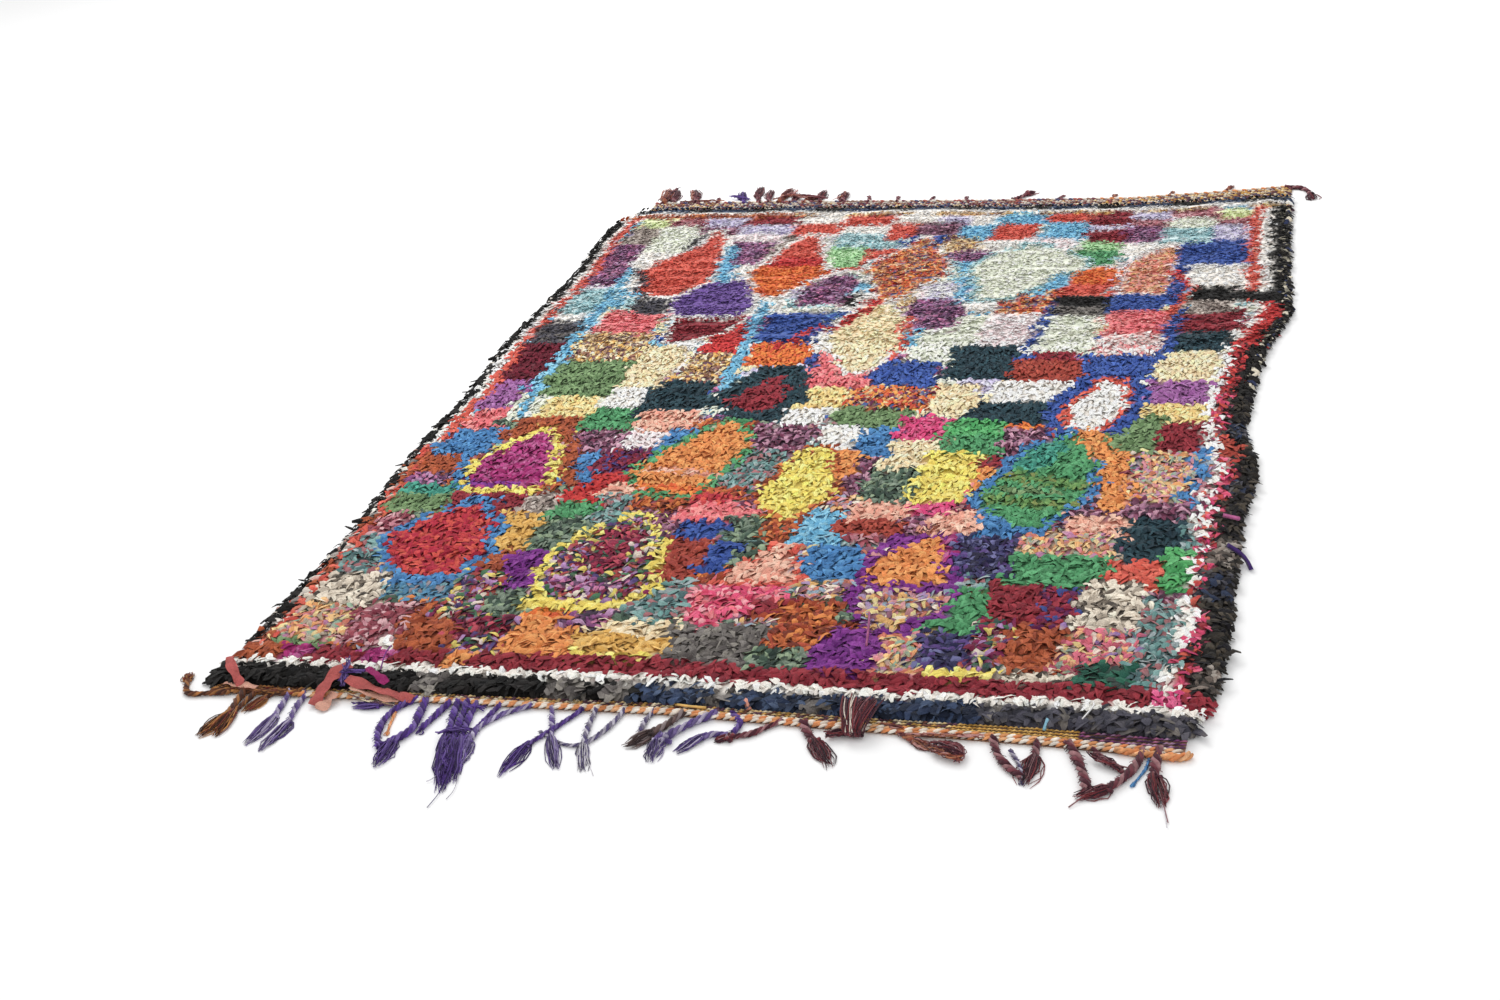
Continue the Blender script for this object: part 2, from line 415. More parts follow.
# Where the pile's foot and the band's outer edge lie at each end, as across, foot and edge.
NEAR_END = (
    (-0.69, -0.943, -0.962),
    (-0.36, -0.937, -0.955),
    (0.00, -0.926, -0.949),
    (0.25, -0.932, -0.959),
    (0.50, -0.931, -0.965),
    (0.69, -0.938, -0.976),
)
FAR_END = (
    (-0.69, 0.975, 1.026),
    (-0.35, 0.968, 1.020),
    (0.05, 0.953, 1.004),
    (0.36, 0.950, 1.000),
    (0.55, 0.966, 1.028),
    (0.69, 0.984, 1.054),
)
END_HALF_WIDTH = 0.690
CORNER_LENGTH = 0.07
RIM_ROOM = 0.012


def linear(code: str) -> tuple[float, float, float]:
    """Turns a dye code into linear colour.

    Args:
        code: Red, green and blue as three pairs of hexadecimal digits.

    Returns:
        Linear red, green and blue.
    """
    parts = [int(code[i : i + 2], 16) / 255.0 for i in (0, 2, 4)]
    return tuple(p / 12.92 if p <= 0.04045 else ((p + 0.055) / 1.055) ** 2.4 for p in parts)


def dye_table() -> tuple[np.ndarray, np.ndarray]:
    """Lays out every yarn's dyes in one array.

    Returns:
        Linear colours by yarn and dye, and the number of dyes of each yarn.
    """
    counts = np.array([len(yarn.value) for yarn in YARNS])
    table = np.zeros((len(YARNS), counts.max(), 3))
    for row, yarn in enumerate(YARNS):
        for column, code in enumerate(yarn.value):
            table[row, column] = linear(code)
    grey = table @ np.array(LUMINANCE)
    return grey[..., None] + WASHED * (table - grey[..., None]), counts


DYES, DYE_COUNTS = dye_table()
NUMBER = {yarn: index for index, yarn in enumerate(YARNS)}


def dyed(yarns: np.ndarray, rng: np.random.Generator, fading: float) -> np.ndarray:
    """Picks a dye for each strip, a little faded or fresh.

    Args:
        yarns: The yarn number of each strip.
        rng: Source of the picks.
        fading: Spread of the brightness from strip to strip.

    Returns:
        One linear colour for each strip.
    """
    picks = (rng.random(yarns.shape) * DYE_COUNTS[yarns]).astype(int)
    tone = 1.0 + fading * rng.standard_normal(yarns.shape)
    return np.clip(DYES[yarns, picks] * tone[..., None], 0.004, 0.95)


def row_at(table: tuple[tuple[float, ...], ...], place: np.ndarray, column: int) -> np.ndarray:
    """Reads one column of an outline table at any place.

    Args:
        table: Rows that start with the place.
        place: Where the column is wanted.
        column: Which column.

    Returns:
        The column's values between the rows.
    """
    rows = np.array(table, float)
    return np.interp(place, rows[:, 0], rows[:, column])


def side_lines(along: np.ndarray) -> tuple[np.ndarray, np.ndarray]:
    """Finds the pile's left and right edge, squared off at the corners.

    Args:
        along: Places along the rug.

    Returns:
        The left and the right edge there, without the locks at the rim.
    """
    square = np.clip(np.minimum(along + 0.94, 0.98 - along) / CORNER_LENGTH, 0.0, 1.0)
    left = row_at(LEFT_SIDE, along, 1) + RIM_ROOM
    right = row_at(RIGHT_SIDE, along, 1) - RIM_ROOM
    left = left * square - END_HALF_WIDTH * (1.0 - square)
    right = right * square + END_HALF_WIDTH * (1.0 - square)
    return left, right


@dataclass
class Pattern:
    """The traditional layout of blocks, lozenges and lined borders, knot by knot."""

    rng: np.random.Generator
    brick_height: float = 8.5
    brick_width: float = 11.0
    edge_shift: float = 0.55
    knot_shift: float = 0.20
    near_shift: float = 0.38
    shift_row: float = 1.5
    shift_column: float = 5.0

    def jagged(self, x: np.ndarray, y: np.ndarray) -> tuple[np.ndarray, np.ndarray]:
        """Moves each knot a little, so that edges run in teeth.

        Args:
            x: Across, in centimetres.
            y: Along, in centimetres.

        Returns:
            The moved places.
        """
        shifts = self.rng.normal(0.0, self.edge_shift, (160, 40))
        row = np.clip(((y + 110.0) / self.shift_row).astype(int), 0, 159)
        column = np.clip(((x + 100.0) / self.shift_column).astype(int), 0, 39)
        shift = np.where(y < -8.0, self.near_shift, self.knot_shift)
        x = x + shifts[row, column] + shift * self.rng.standard_normal(x.shape)
        shift = np.where(y < -83.0, self.knot_shift, shift)
        return x, y + shift * self.rng.standard_normal(y.shape)

    def fill(self, x: np.ndarray, y: np.ndarray) -> np.ndarray:
        """Lays staggered blocks under everything else.

        Args:
            x: Across, in centimetres.
            y: Along, in centimetres.

        Returns:
            The yarn number of each knot.
        """
        row = np.floor((y + 100.0) / self.brick_height).astype(int)
        stagger = np.where(row % 2 == 0, 0.0, 0.5 * self.brick_width)
        column = np.floor((x + 100.0 + stagger) / self.brick_width).astype(int)
        picks = self.rng.integers(0, 1000, (40, 40))[row % 40, column % 40]
        zones = [np.array([NUMBER[yarn] for yarn in zone]) for zone in (NEAR_FILL, MIDDLE_FILL, FAR_FILL)]
        near, middle, far = [zone[picks % len(zone)] for zone in zones]
        return np.where(y < -8.0, near, np.where(y < 40.0, middle, far))

    def add_medallion(self, yarns: np.ndarray, x: np.ndarray, y: np.ndarray, shape: Medallion) -> None:
        """Knots one lozenge and its outline over what is there."""
        rows = np.array(shape.rows, float)[::-1]
        left = np.interp(y, rows[:, 0], rows[:, 1])
        right = np.interp(y, rows[:, 0], rows[:, 2])
        width = shape.outline_width
        beyond = np.maximum(y - rows[-1, 0], rows[0, 0] - y)
        ring = (x > left - width) & (x < right + width) & (beyond < width)
        yarns[ring] = NUMBER[shape.outline]
        yarns[(x > left) & (x < right) & (beyond < 0.0)] = NUMBER[shape.yarn]

    def add_stripe(self, yarns: np.ndarray, x: np.ndarray, y: np.ndarray, stripe: Stripe) -> None:
        """Knots one slanting line over what is there."""
        (x0, y0), (x1, y1) = stripe.start, stripe.end
        share = ((x - x0) * (x1 - x0) + (y - y0) * (y1 - y0)) / ((x1 - x0) ** 2 + (y1 - y0) ** 2)
        share = np.clip(share, 0.0, 1.0)
        apart = np.hypot(x - x0 - share * (x1 - x0), y - y0 - share * (y1 - y0))
        yarns[apart < 0.5 * stripe.width] = NUMBER[stripe.yarn]

    def add_sides(self, yarns: np.ndarray, x: np.ndarray, y: np.ndarray) -> None:
        """Lines both long sides: dark outside, then white and red in turn."""
        left, right = side_lines(y * CM)
        inside = x - left / CM
        low = y < -18.0
        lines = ((Yarn.CORAL, 4.7), (Yarn.CREAM, 2.8), (Yarn.BLACK, 1.3))
        for yarn, width in lines:
            yarns[~low & (inside < width)] = NUMBER[yarn]
        lines = ((Yarn.CORAL, 3.4), (Yarn.HEM_PALE, 2.1), (Yarn.BLACK, 1.0))
        for yarn, width in lines:
            yarns[low & (inside < width)] = NUMBER[yarn]
        patchy = low & (inside > 1.0) & (inside < 3.0) & (np.sin(0.9 * y) + np.sin(0.37 * y) > 0.55)
        yarns[patchy] = NUMBER[Yarn.RUST]
        inside = right / CM - x
        far = y > 42.0
        lines = ((Yarn.CORAL, 7.0), (Yarn.CREAM, 5.0), (Yarn.BLACK, 2.8), (Yarn.EDGE, 0.6))
        for yarn, width in lines:
            yarns[far & (inside < width)] = NUMBER[yarn]
        lines = ((Yarn.CREAM, 6.0), (Yarn.HEM_RED, 4.4), (Yarn.BLACK, 2.2), (Yarn.EDGE, 0.3))
        for yarn, width in lines:
            yarns[~far & (inside < width)] = NUMBER[yarn]
        yarns[~far & (y > 24.0) & (inside > 1.4) & (inside < 4.4)] = NUMBER[Yarn.RED]
        soft = y < 4.0
        yarns[soft & (inside > 2.7) & (inside < 4.6)] = NUMBER[Yarn.HEM_MIX]
        yarns[soft & (inside < 2.9)] = NUMBER[Yarn.SOOT]
        for yarn, near, far_edge, low_edge, high_edge in HEM_PATCHES:
            patch = (y > near) & (y < far_edge) & (inside > low_edge) & (inside < high_edge)
            yarns[patch] = NUMBER[yarn]
        bar = (x > 55.0) & (y > 42.5) & (y < 47.5)
        yarns[bar & (inside < 9.0) & (inside > 0.3)] = NUMBER[Yarn.BLACK]

    def add_near_rows(self, yarns: np.ndarray, x: np.ndarray, y: np.ndarray) -> None:
        """Lines the near end: red, white, then the dark rags over the band."""
        red = y < -84.5 + 0.01 * (30.0 - np.abs(x))
        yarns[red] = NUMBER[Yarn.WINE]
        yarns[red & (x < -60.0)] = NUMBER[Yarn.RUST]
        yarns[red & (np.abs(x + 60.5) < 2.0)] = NUMBER[Yarn.MAGENTA]
        yarns[red & (np.abs(x + 47.0) < 2.5)] = NUMBER[Yarn.MAGENTA]
        yarns[red & (np.abs(x + 34.5) < 1.8)] = NUMBER[Yarn.ORANGE]
        yarns[red & (np.abs(x - 66.0) < 2.0)] = NUMBER[Yarn.ROSE]
        yarns[y < -88.3] = NUMBER[Yarn.CREAM]
        dark = y < -90.0
        yarns[dark] = NUMBER[Yarn.BLACK]
        for start, end in ((-38, -34), (-18, -12), (-9, -6)):
            yarns[dark & (x > start) & (x < end)] = NUMBER[Yarn.GREY]
        yarns[dark & (x > -5.0)] = NUMBER[Yarn.NAVY]
        for start, end in ((5, 8), (19, 22)):
            yarns[dark & (x > start) & (x < end)] = NUMBER[Yarn.GREY]
        yarns[dark & (x > 42.0)] = NUMBER[Yarn.SLATE]

    def add_far_rows(self, yarns: np.ndarray, x: np.ndarray, y: np.ndarray) -> None:
        """Lines the far end: a patchy rust line, a white one and a dark one."""
        inside = row_at(FAR_END, x * CM, 1) / CM - y
        patchy = np.sin(0.29 * x) + np.sin(0.61 * x + 1.0) > -0.2
        yarns[(inside < 7.4) & (x < -32.0)] = NUMBER[Yarn.EMBER]
        yarns[(inside < 7.0) & (x > -32.0) & patchy] = NUMBER[Yarn.OCHRE]
        yarns[(inside < 5.2) | ((inside < 5.6) & (x > -32.0))] = NUMBER[Yarn.CREAM]
        yarns[inside < 4.0] = NUMBER[Yarn.NAVY]
        yarns[(inside < 4.0) & (np.sin(0.42 * x) > 0.3)] = NUMBER[Yarn.BLACK]

    def yarns_at(self, across: np.ndarray, along: np.ndarray) -> np.ndarray:
        """Says which yarn is knotted at each place.

        Args:
            across: X of each knot, in metres.
            along: Y of each knot, in metres.

        Returns:
            The yarn number of each knot.
        """
        x, y = self.jagged(across / CM, along / CM)
        yarns = self.fill(x, y)
        for group in BLOCKS:
            for left, right, near, far in group.spans:
                yarns[(x > left) & (x < right) & (y > near) & (y < far)] = NUMBER[group.yarn]
        for shape in MEDALLIONS:
            self.add_medallion(yarns, x, y, shape)
        for stripe in STRIPES:
            self.add_stripe(yarns, x, y, stripe)
        finished = np.isin(yarns, [NUMBER[yarn] for yarn in (Yarn.GREEN, Yarn.MAGENTA, Yarn.ORANGE, Yarn.CORAL, Yarn.GARDEN)])
        crossed = yarns.copy()
        for stripe in LATE_STRIPES:
            self.add_stripe(crossed, x, y, stripe)
        yarns = np.where(finished, crossed, yarns)
        self.add_sides(yarns, x, y)
        self.add_far_rows(yarns, x, y)
        self.add_near_rows(yarns, x, y)
        return yarns


@dataclass(frozen=True)
class TubeTemplate:
    """A straight closed tube of a few rings, bent along many paths at once."""

    ring: np.ndarray
    direction: np.ndarray
    triangles: np.ndarray
    corner_map: np.ndarray
    rings: int


def make_template(rings: int, sides: int) -> TubeTemplate:
    """Draws a straight tube out of one ring of edges.

    Args:
        rings: Number of rings along the tube.
        sides: Number of sides round it.

    Returns:
        The tube's points by ring and direction, its triangles and its flat map.
    """
    bm = bmesh.new()
    bmesh.ops.create_circle(bm, cap_ends=False, segments=sides, radius=1.0)
    edges = list(bm.edges)
    for _ in range(rings - 1):
        grown = bmesh.ops.extrude_edge_only(bm, edges=edges)["geom"]
        verts = [item for item in grown if isinstance(item, bmesh.types.BMVert)]
        edges = [item for item in grown if isinstance(item, bmesh.types.BMEdge)]
        edges = [edge for edge in edges if all(vert in verts for vert in edge.verts)]
        bmesh.ops.translate(bm, verts=verts, vec=(0.0, 0.0, 1.0))
    bmesh.ops.holes_fill(bm, edges=[edge for edge in bm.edges if edge.is_boundary], sides=sides)
    bmesh.ops.recalc_face_normals(bm, faces=bm.faces[:])
    bmesh.ops.triangulate(bm, faces=bm.faces[:])
    bm.verts.index_update()
    places = np.array([vert.co[:] for vert in bm.verts])
    triangles = np.array([[vert.index for vert in face.verts] for face in bm.faces])
    bm.free()
    ring = np.rint(places[:, 2]).astype(int)
    turn = np.arctan2(places[:, 1], places[:, 0])
    first = turn[0]
    direction = turn - first + 0.5 * math.pi
    share = np.mod(turn - first, 2.0 * math.pi) / (2.0 * math.pi)
    corner_map = np.zeros((len(triangles), 3, 2))
    for index, corners in enumerate(triangles):
        around = share[corners]
        up = ring[corners] / max(1, rings - 1)
        if ring[corners].max() == ring[corners].min():
            angle = 2.0 * math.pi * share[corners]
            low = 0.93 if up[0] > 0.5 else 0.04
            corner_map[index, :, 0] = 0.5 + 0.4 * np.cos(angle)
            corner_map[index, :, 1] = low + 0.03 * np.sin(angle)
            continue
        if around.max() - around.min() > 0.5:
            around = np.where(around < 0.25, around + 1.0, around)
        corner_map[index, :, 0] = around
        corner_map[index, :, 1] = 0.1 + 0.78 * up
    return TubeTemplate(ring, direction, triangles, corner_map, rings)


TEMPLATES: dict[tuple[int, int], TubeTemplate] = {}


def template(rings: int, sides: int) -> TubeTemplate:
    """Gives the tube with these rings and sides, made once."""
    if (rings, sides) not in TEMPLATES:
        TEMPLATES[rings, sides] = make_template(rings, sides)
    return TEMPLATES[rings, sides]


def unit(vectors: np.ndarray) -> np.ndarray:
    """Scales vectors to length one."""
    return vectors / np.maximum(np.linalg.norm(vectors, axis=-1, keepdims=True), 1e-9)


@dataclass
class Strips:
    """Strips or threads swept along their paths and kept as one mesh."""

    points: list[np.ndarray] = field(default_factory=list)
    colours: list[np.ndarray] = field(default_factory=list)
    triangles: list[np.ndarray] = field(default_factory=list)
    maps: list[np.ndarray] = field(default_factory=list)
    count: int = 0
    cells: int = 0

    def sweep(
        self,
        paths: np.ndarray,
        widths: np.ndarray,
        depths: np.ndarray,
        colours: np.ndarray,
        sides: int = 3,
        roll: np.ndarray | float = 0.0,
        up: tuple[float, float, float] = (0.0, 0.0, 1.0),
    ) -> None:
        """Bends one tube along each path.

        Args:
            paths: Points of each path, by strip and ring.
            widths: Width by strip and ring.
            depths: Thickness by strip and ring.
            colours: Linear colour by strip and ring.
            sides: Number of sides of each tube.
            roll: Turn of the section about the path, by strip and ring.
            up: Direction in which the thickness lies where there is no roll.
        """
        shape = template(paths.shape[1], sides)
        heading = unit(np.gradient(paths, axis=1))
        side = unit(np.cross(heading, np.array(up)))
        normal = np.cross(side, heading)
        angle = np.broadcast_to(np.asarray(roll, float), paths.shape[:2])[..., None]
        turned = np.cos(angle) * side + np.sin(angle) * normal
        normal = np.cos(angle) * normal - np.sin(angle) * side
        ring = shape.ring
        reach = 0.5 * np.cos(shape.direction)
        rise = 0.5 * np.sin(shape.direction)
        points = paths[:, ring]
        points = points + turned[:, ring] * (widths[:, ring] * reach)[..., None]
        points = points + normal[:, ring] * (depths[:, ring] * rise)[..., None]
        points[..., 2] = np.maximum(points[..., 2], LOWEST)
        strips = len(paths)
        offsets = self.count + np.arange(strips)[:, None, None] * len(ring)
        self.triangles.append((shape.triangles[None] + offsets).reshape(-1, 3))
        self.points.append(points.reshape(-1, 3))
        self.colours.append(colours[:, ring].reshape(-1, 3))
        cell = np.repeat(self.cells + np.arange(strips), len(shape.triangles))
        corner = np.tile(shape.corner_map, (strips, 1, 1))
        self.maps.append(np.concatenate([corner, np.tile(cell[:, None, None], (1, 3, 1))], axis=2))
        self.count += strips * len(ring)
        self.cells += strips

    def build(self, name: str, material: bpy.types.Material, smooth: bool) -> bpy.types.Object:
        """Makes the piece.

        Args:
            name: Name of the piece.
            material: Its finish.
            smooth: Whether its facets are shaded smoothly.

        Returns:
            The finished object.
        """
        points = np.concatenate(self.points)
        triangles = np.concatenate(self.triangles)
        mesh = bpy.data.meshes.new(name)
        mesh.from_pydata(points.tolist(), [], triangles.tolist())
        mesh.update()
        paint(mesh, np.concatenate(self.colours))
        corners = np.concatenate(self.maps).reshape(-1, 3)
        across = max(1, math.ceil(math.sqrt(self.cells)))
        row, column = np.divmod(corners[:, 2], across)
        places = np.stack([column + 0.1 + 0.8 * corners[:, 0], row + 0.1 + 0.8 * corners[:, 1]], 1)
        layer = mesh.uv_layers.new(name=BAKE_MAP)
        layer.uv.foreach_set("vector", (places / across).astype(np.float32).ravel())
        mesh.polygons.foreach_set("use_smooth", np.full(len(triangles), smooth))
        return finish_piece(name, mesh, material)


def paint(mesh: bpy.types.Mesh, colours: np.ndarray) -> None:
    """Writes one linear colour to each point of a mesh."""
    attribute = mesh.attributes.new(DYE, "FLOAT_COLOR", "POINT")
    full = np.concatenate([colours, np.ones((len(colours), 1))], axis=1)
    attribute.data.foreach_set("color", full.astype(np.float32).ravel())


def finish_piece(name: str, mesh: bpy.types.Mesh, material: bpy.types.Material) -> bpy.types.Object:
    """Puts a mesh into the scene and lets it move with the rug.

    Args:
        name: Name of the piece.
        mesh: Its mesh, in place.
        material: Its finish.

    Returns:
        The object.
    """
    mesh.materials.append(material)
    piece = bpy.data.objects.new(name, mesh)
    bpy.context.scene.collection.objects.link(piece)
    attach(piece, BODY)
    LOG.info("%s: %d triangles", name, sum(len(face.vertices) - 2 for face in mesh.polygons))
    return piece


def fibre_group() -> bpy.types.NodeTree:
    """Builds the shared effect of spun and frayed fibres.

    Returns:
        A node group that puts out the worn colour, the roughness and the relief.
    """
    group = bpy.data.node_groups.new("Frayed fibres", "ShaderNodeTree")
    face = group.interface
    face.new_socket("Colour", in_out="INPUT", socket_type="NodeSocketColor")
    face.new_socket("Vector", in_out="INPUT", socket_type="NodeSocketVector")
    face.new_socket("Crease Vector", in_out="INPUT", socket_type="NodeSocketVector")
    face.new_socket("Fibre Scale", in_out="INPUT", socket_type="NodeSocketFloat")
    face.new_socket("Mottle", in_out="INPUT", socket_type="NodeSocketFloat")
    face.new_socket("Base Roughness", in_out="INPUT", socket_type="NodeSocketFloat")
    face.new_socket("Colour", in_out="OUTPUT", socket_type="NodeSocketColor")
    face.new_socket("Roughness", in_out="OUTPUT", socket_type="NodeSocketFloat")
    face.new_socket("Relief", in_out="OUTPUT", socket_type="NodeSocketFloat")
    nodes, links = group.nodes, group.links
    given = nodes.new("NodeGroupInput")
    result = nodes.new("NodeGroupOutput")
    fibres = nodes.new("ShaderNodeTexNoise")
    fibres.inputs["Detail"].default_value = 3.0
    fibres.inputs["Roughness"].default_value = 0.65
    links.new(given.outputs["Vector"], fibres.inputs["Vector"])
    links.new(given.outputs["Fibre Scale"], fibres.inputs["Scale"])
    creases = nodes.new("ShaderNodeTexNoise")
    creases.inputs["Scale"].default_value = 1.0
    creases.inputs["Detail"].default_value = 2.0
    links.new(given.outputs["Crease Vector"], creases.inputs["Vector"])
    both = nodes.new("ShaderNodeMath")
    both.operation = "MULTIPLY_ADD"
    both.inputs[1].default_value = 1.3
    links.new(creases.outputs["Fac"], both.inputs[0])
    links.new(fibres.outputs["Fac"], both.inputs[2])
    tone = nodes.new("ShaderNodeMapRange")
    tone.inputs["From Min"].default_value = 0.75
    tone.inputs["From Max"].default_value = 1.55
    tone.inputs["To Min"].default_value = -1.0
    tone.inputs["To Max"].default_value = 1.0
    links.new(both.outputs[0], tone.inputs["Value"])
    amount = nodes.new("ShaderNodeMath")
    amount.operation = "MULTIPLY_ADD"
    amount.inputs[2].default_value = 1.0
    links.new(tone.outputs["Result"], amount.inputs[0])
    links.new(given.outputs["Mottle"], amount.inputs[1])
    worn = nodes.new("ShaderNodeVectorMath")
    worn.operation = "SCALE"
    links.new(given.outputs["Colour"], worn.inputs[0])
    links.new(amount.outputs[0], worn.inputs["Scale"])
    links.new(worn.outputs["Vector"], result.inputs["Colour"])
    rough = nodes.new("ShaderNodeMath")
    rough.operation = "MULTIPLY_ADD"
    rough.inputs[1].default_value = 0.10
    links.new(fibres.outputs["Fac"], rough.inputs[0])
    links.new(given.outputs["Base Roughness"], rough.inputs[2])
    links.new(rough.outputs[0], result.inputs["Roughness"])
    links.new(both.outputs[0], result.inputs["Relief"])
    return group


@dataclass(frozen=True)
class ClothFinish:
    """Dyed rag or wool, coloured strip by strip."""

    name: str
    fibre_scale: float
    mottle: float
    roughness: float
    sheen: float
    relief: float
    crease_source: str
    crease_scale: tuple[float, float, float]

    def build(self, fibres: bpy.types.NodeTree) -> bpy.types.Material:
        """Makes the material.

        Args:
            fibres: The shared effect of frayed fibres.

        Returns:
            The material.
        """
        material = bpy.data.materials.new(self.name)
        material.use_nodes = True
        nodes, links = material.node_tree.nodes, material.node_tree.links
        shader = nodes["Principled BSDF"]
        shader.inputs["Sheen Weight"].default_value = self.sheen
        shader.inputs["Sheen Roughness"].default_value = 0.5
        shader.inputs["Specular IOR Level"].default_value = 0.15
        shader.inputs["Metallic"].default_value = 0.0
        dye = nodes.new("ShaderNodeAttribute")
        dye.attribute_name = DYE
        place = nodes.new("ShaderNodeTexCoord")
        effect = nodes.new("ShaderNodeGroup")
        effect.node_tree = fibres
        effect.inputs["Fibre Scale"].default_value = self.fibre_scale
        effect.inputs["Mottle"].default_value = self.mottle
        effect.inputs["Base Roughness"].default_value = self.roughness
        links.new(dye.outputs["Color"], effect.inputs["Colour"])
        links.new(place.outputs["Object"], effect.inputs["Vector"])
        folds = nodes.new("ShaderNodeMapping")
        folds.inputs["Scale"].default_value = self.crease_scale
        if self.crease_source:
            strip = nodes.new("ShaderNodeUVMap")
            strip.uv_map = self.crease_source
            links.new(strip.outputs["UV"], folds.inputs["Vector"])
        else:
            links.new(place.outputs["Object"], folds.inputs["Vector"])
        links.new(folds.outputs["Vector"], effect.inputs["Crease Vector"])
        links.new(effect.outputs["Colour"], shader.inputs["Base Color"])
        links.new(effect.outputs["Roughness"], shader.inputs["Roughness"])
        bump = nodes.new("ShaderNodeBump")
        bump.inputs["Strength"].default_value = 0.8
        bump.inputs["Distance"].default_value = self.relief
        links.new(effect.outputs["Relief"], bump.inputs["Height"])
        links.new(bump.outputs["Normal"], shader.inputs["Normal"])
        return material


@dataclass
class GroundCloth:
    """The woven ground under the pile, a thick flat sheet that follows the rug's outline."""

    columns: int = 96
    rows: int = 130
    cover: float = 0.0020
    edge_height: float = 0.0045
    edge_room: float = 0.012
    floor_gap: float = 0.0002
    darkness: float = 1.0

    def height_at(self, solid: BVHTree, x: float, y: float, edge: float) -> float:
        """Finds how high the ground lies.

        Args:
            solid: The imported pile.
            x: Across.
            y: Along.
            edge: Distance from the ground's own edge.

        Returns:
            The height of the ground.
        """
        hit = solid.ray_cast(Vector((x, y, 0.2)), Vector((0.0, 0.0, -1.0)))[0]
        top = (hit.z if hit else self.cover + self.edge_height) - self.cover
        share = min(1.0, edge / self.edge_room)
        return max(self.edge_height, top * share + self.edge_height * (1.0 - share))

    def build(
        self, solid: BVHTree, pattern: Pattern, material: bpy.types.Material
    ) -> bpy.types.Object:
        """Weaves the ground.

        Args:
            solid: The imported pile.
            pattern: The layout that shows between the knots and on the back.
            material: The finish.

        Returns:
            The ground cloth.
        """
        bm = bmesh.new()
        bmesh.ops.create_grid(bm, x_segments=self.columns, y_segments=self.rows, size=0.5)
        for vert in bm.verts:
            u, v = vert.co.x + 0.5, vert.co.y + 0.5
            x = END_HALF_WIDTH * (2.0 * u - 1.0)
            foot = float(row_at(NEAR_END, x, 1)) + 0.001
            far = float(row_at(FAR_END, x, 1)) - 0.001
            y = foot + v * (far - foot)
            left, right = side_lines(np.array(y))
            x = float(left) + u * float(right - left)
            edge = min(x - float(left), float(right) - x, y - foot, far - y)
            vert.co = Vector((x, y, self.height_at(solid, x, y, edge)))
        lower = bmesh.ops.extrude_face_region(bm, geom=bm.faces[:])["geom"]
        for item in lower:
            if isinstance(item, bmesh.types.BMVert):
                item.co.z = self.floor_gap
        bmesh.ops.recalc_face_normals(bm, faces=bm.faces[:])
        mesh = bpy.data.meshes.new("ground_cloth")
        bm.to_mesh(mesh)
        bm.free()
        places = np.zeros(len(mesh.vertices) * 3)
        mesh.vertices.foreach_get("co", places)
        places = places.reshape(-1, 3)
        yarns = pattern.yarns_at(places[:, 0], places[:, 1])
        paint(mesh, self.darkness * dyed(yarns, pattern.rng, 0.05))
        return finish_piece("ground_cloth", mesh, material)


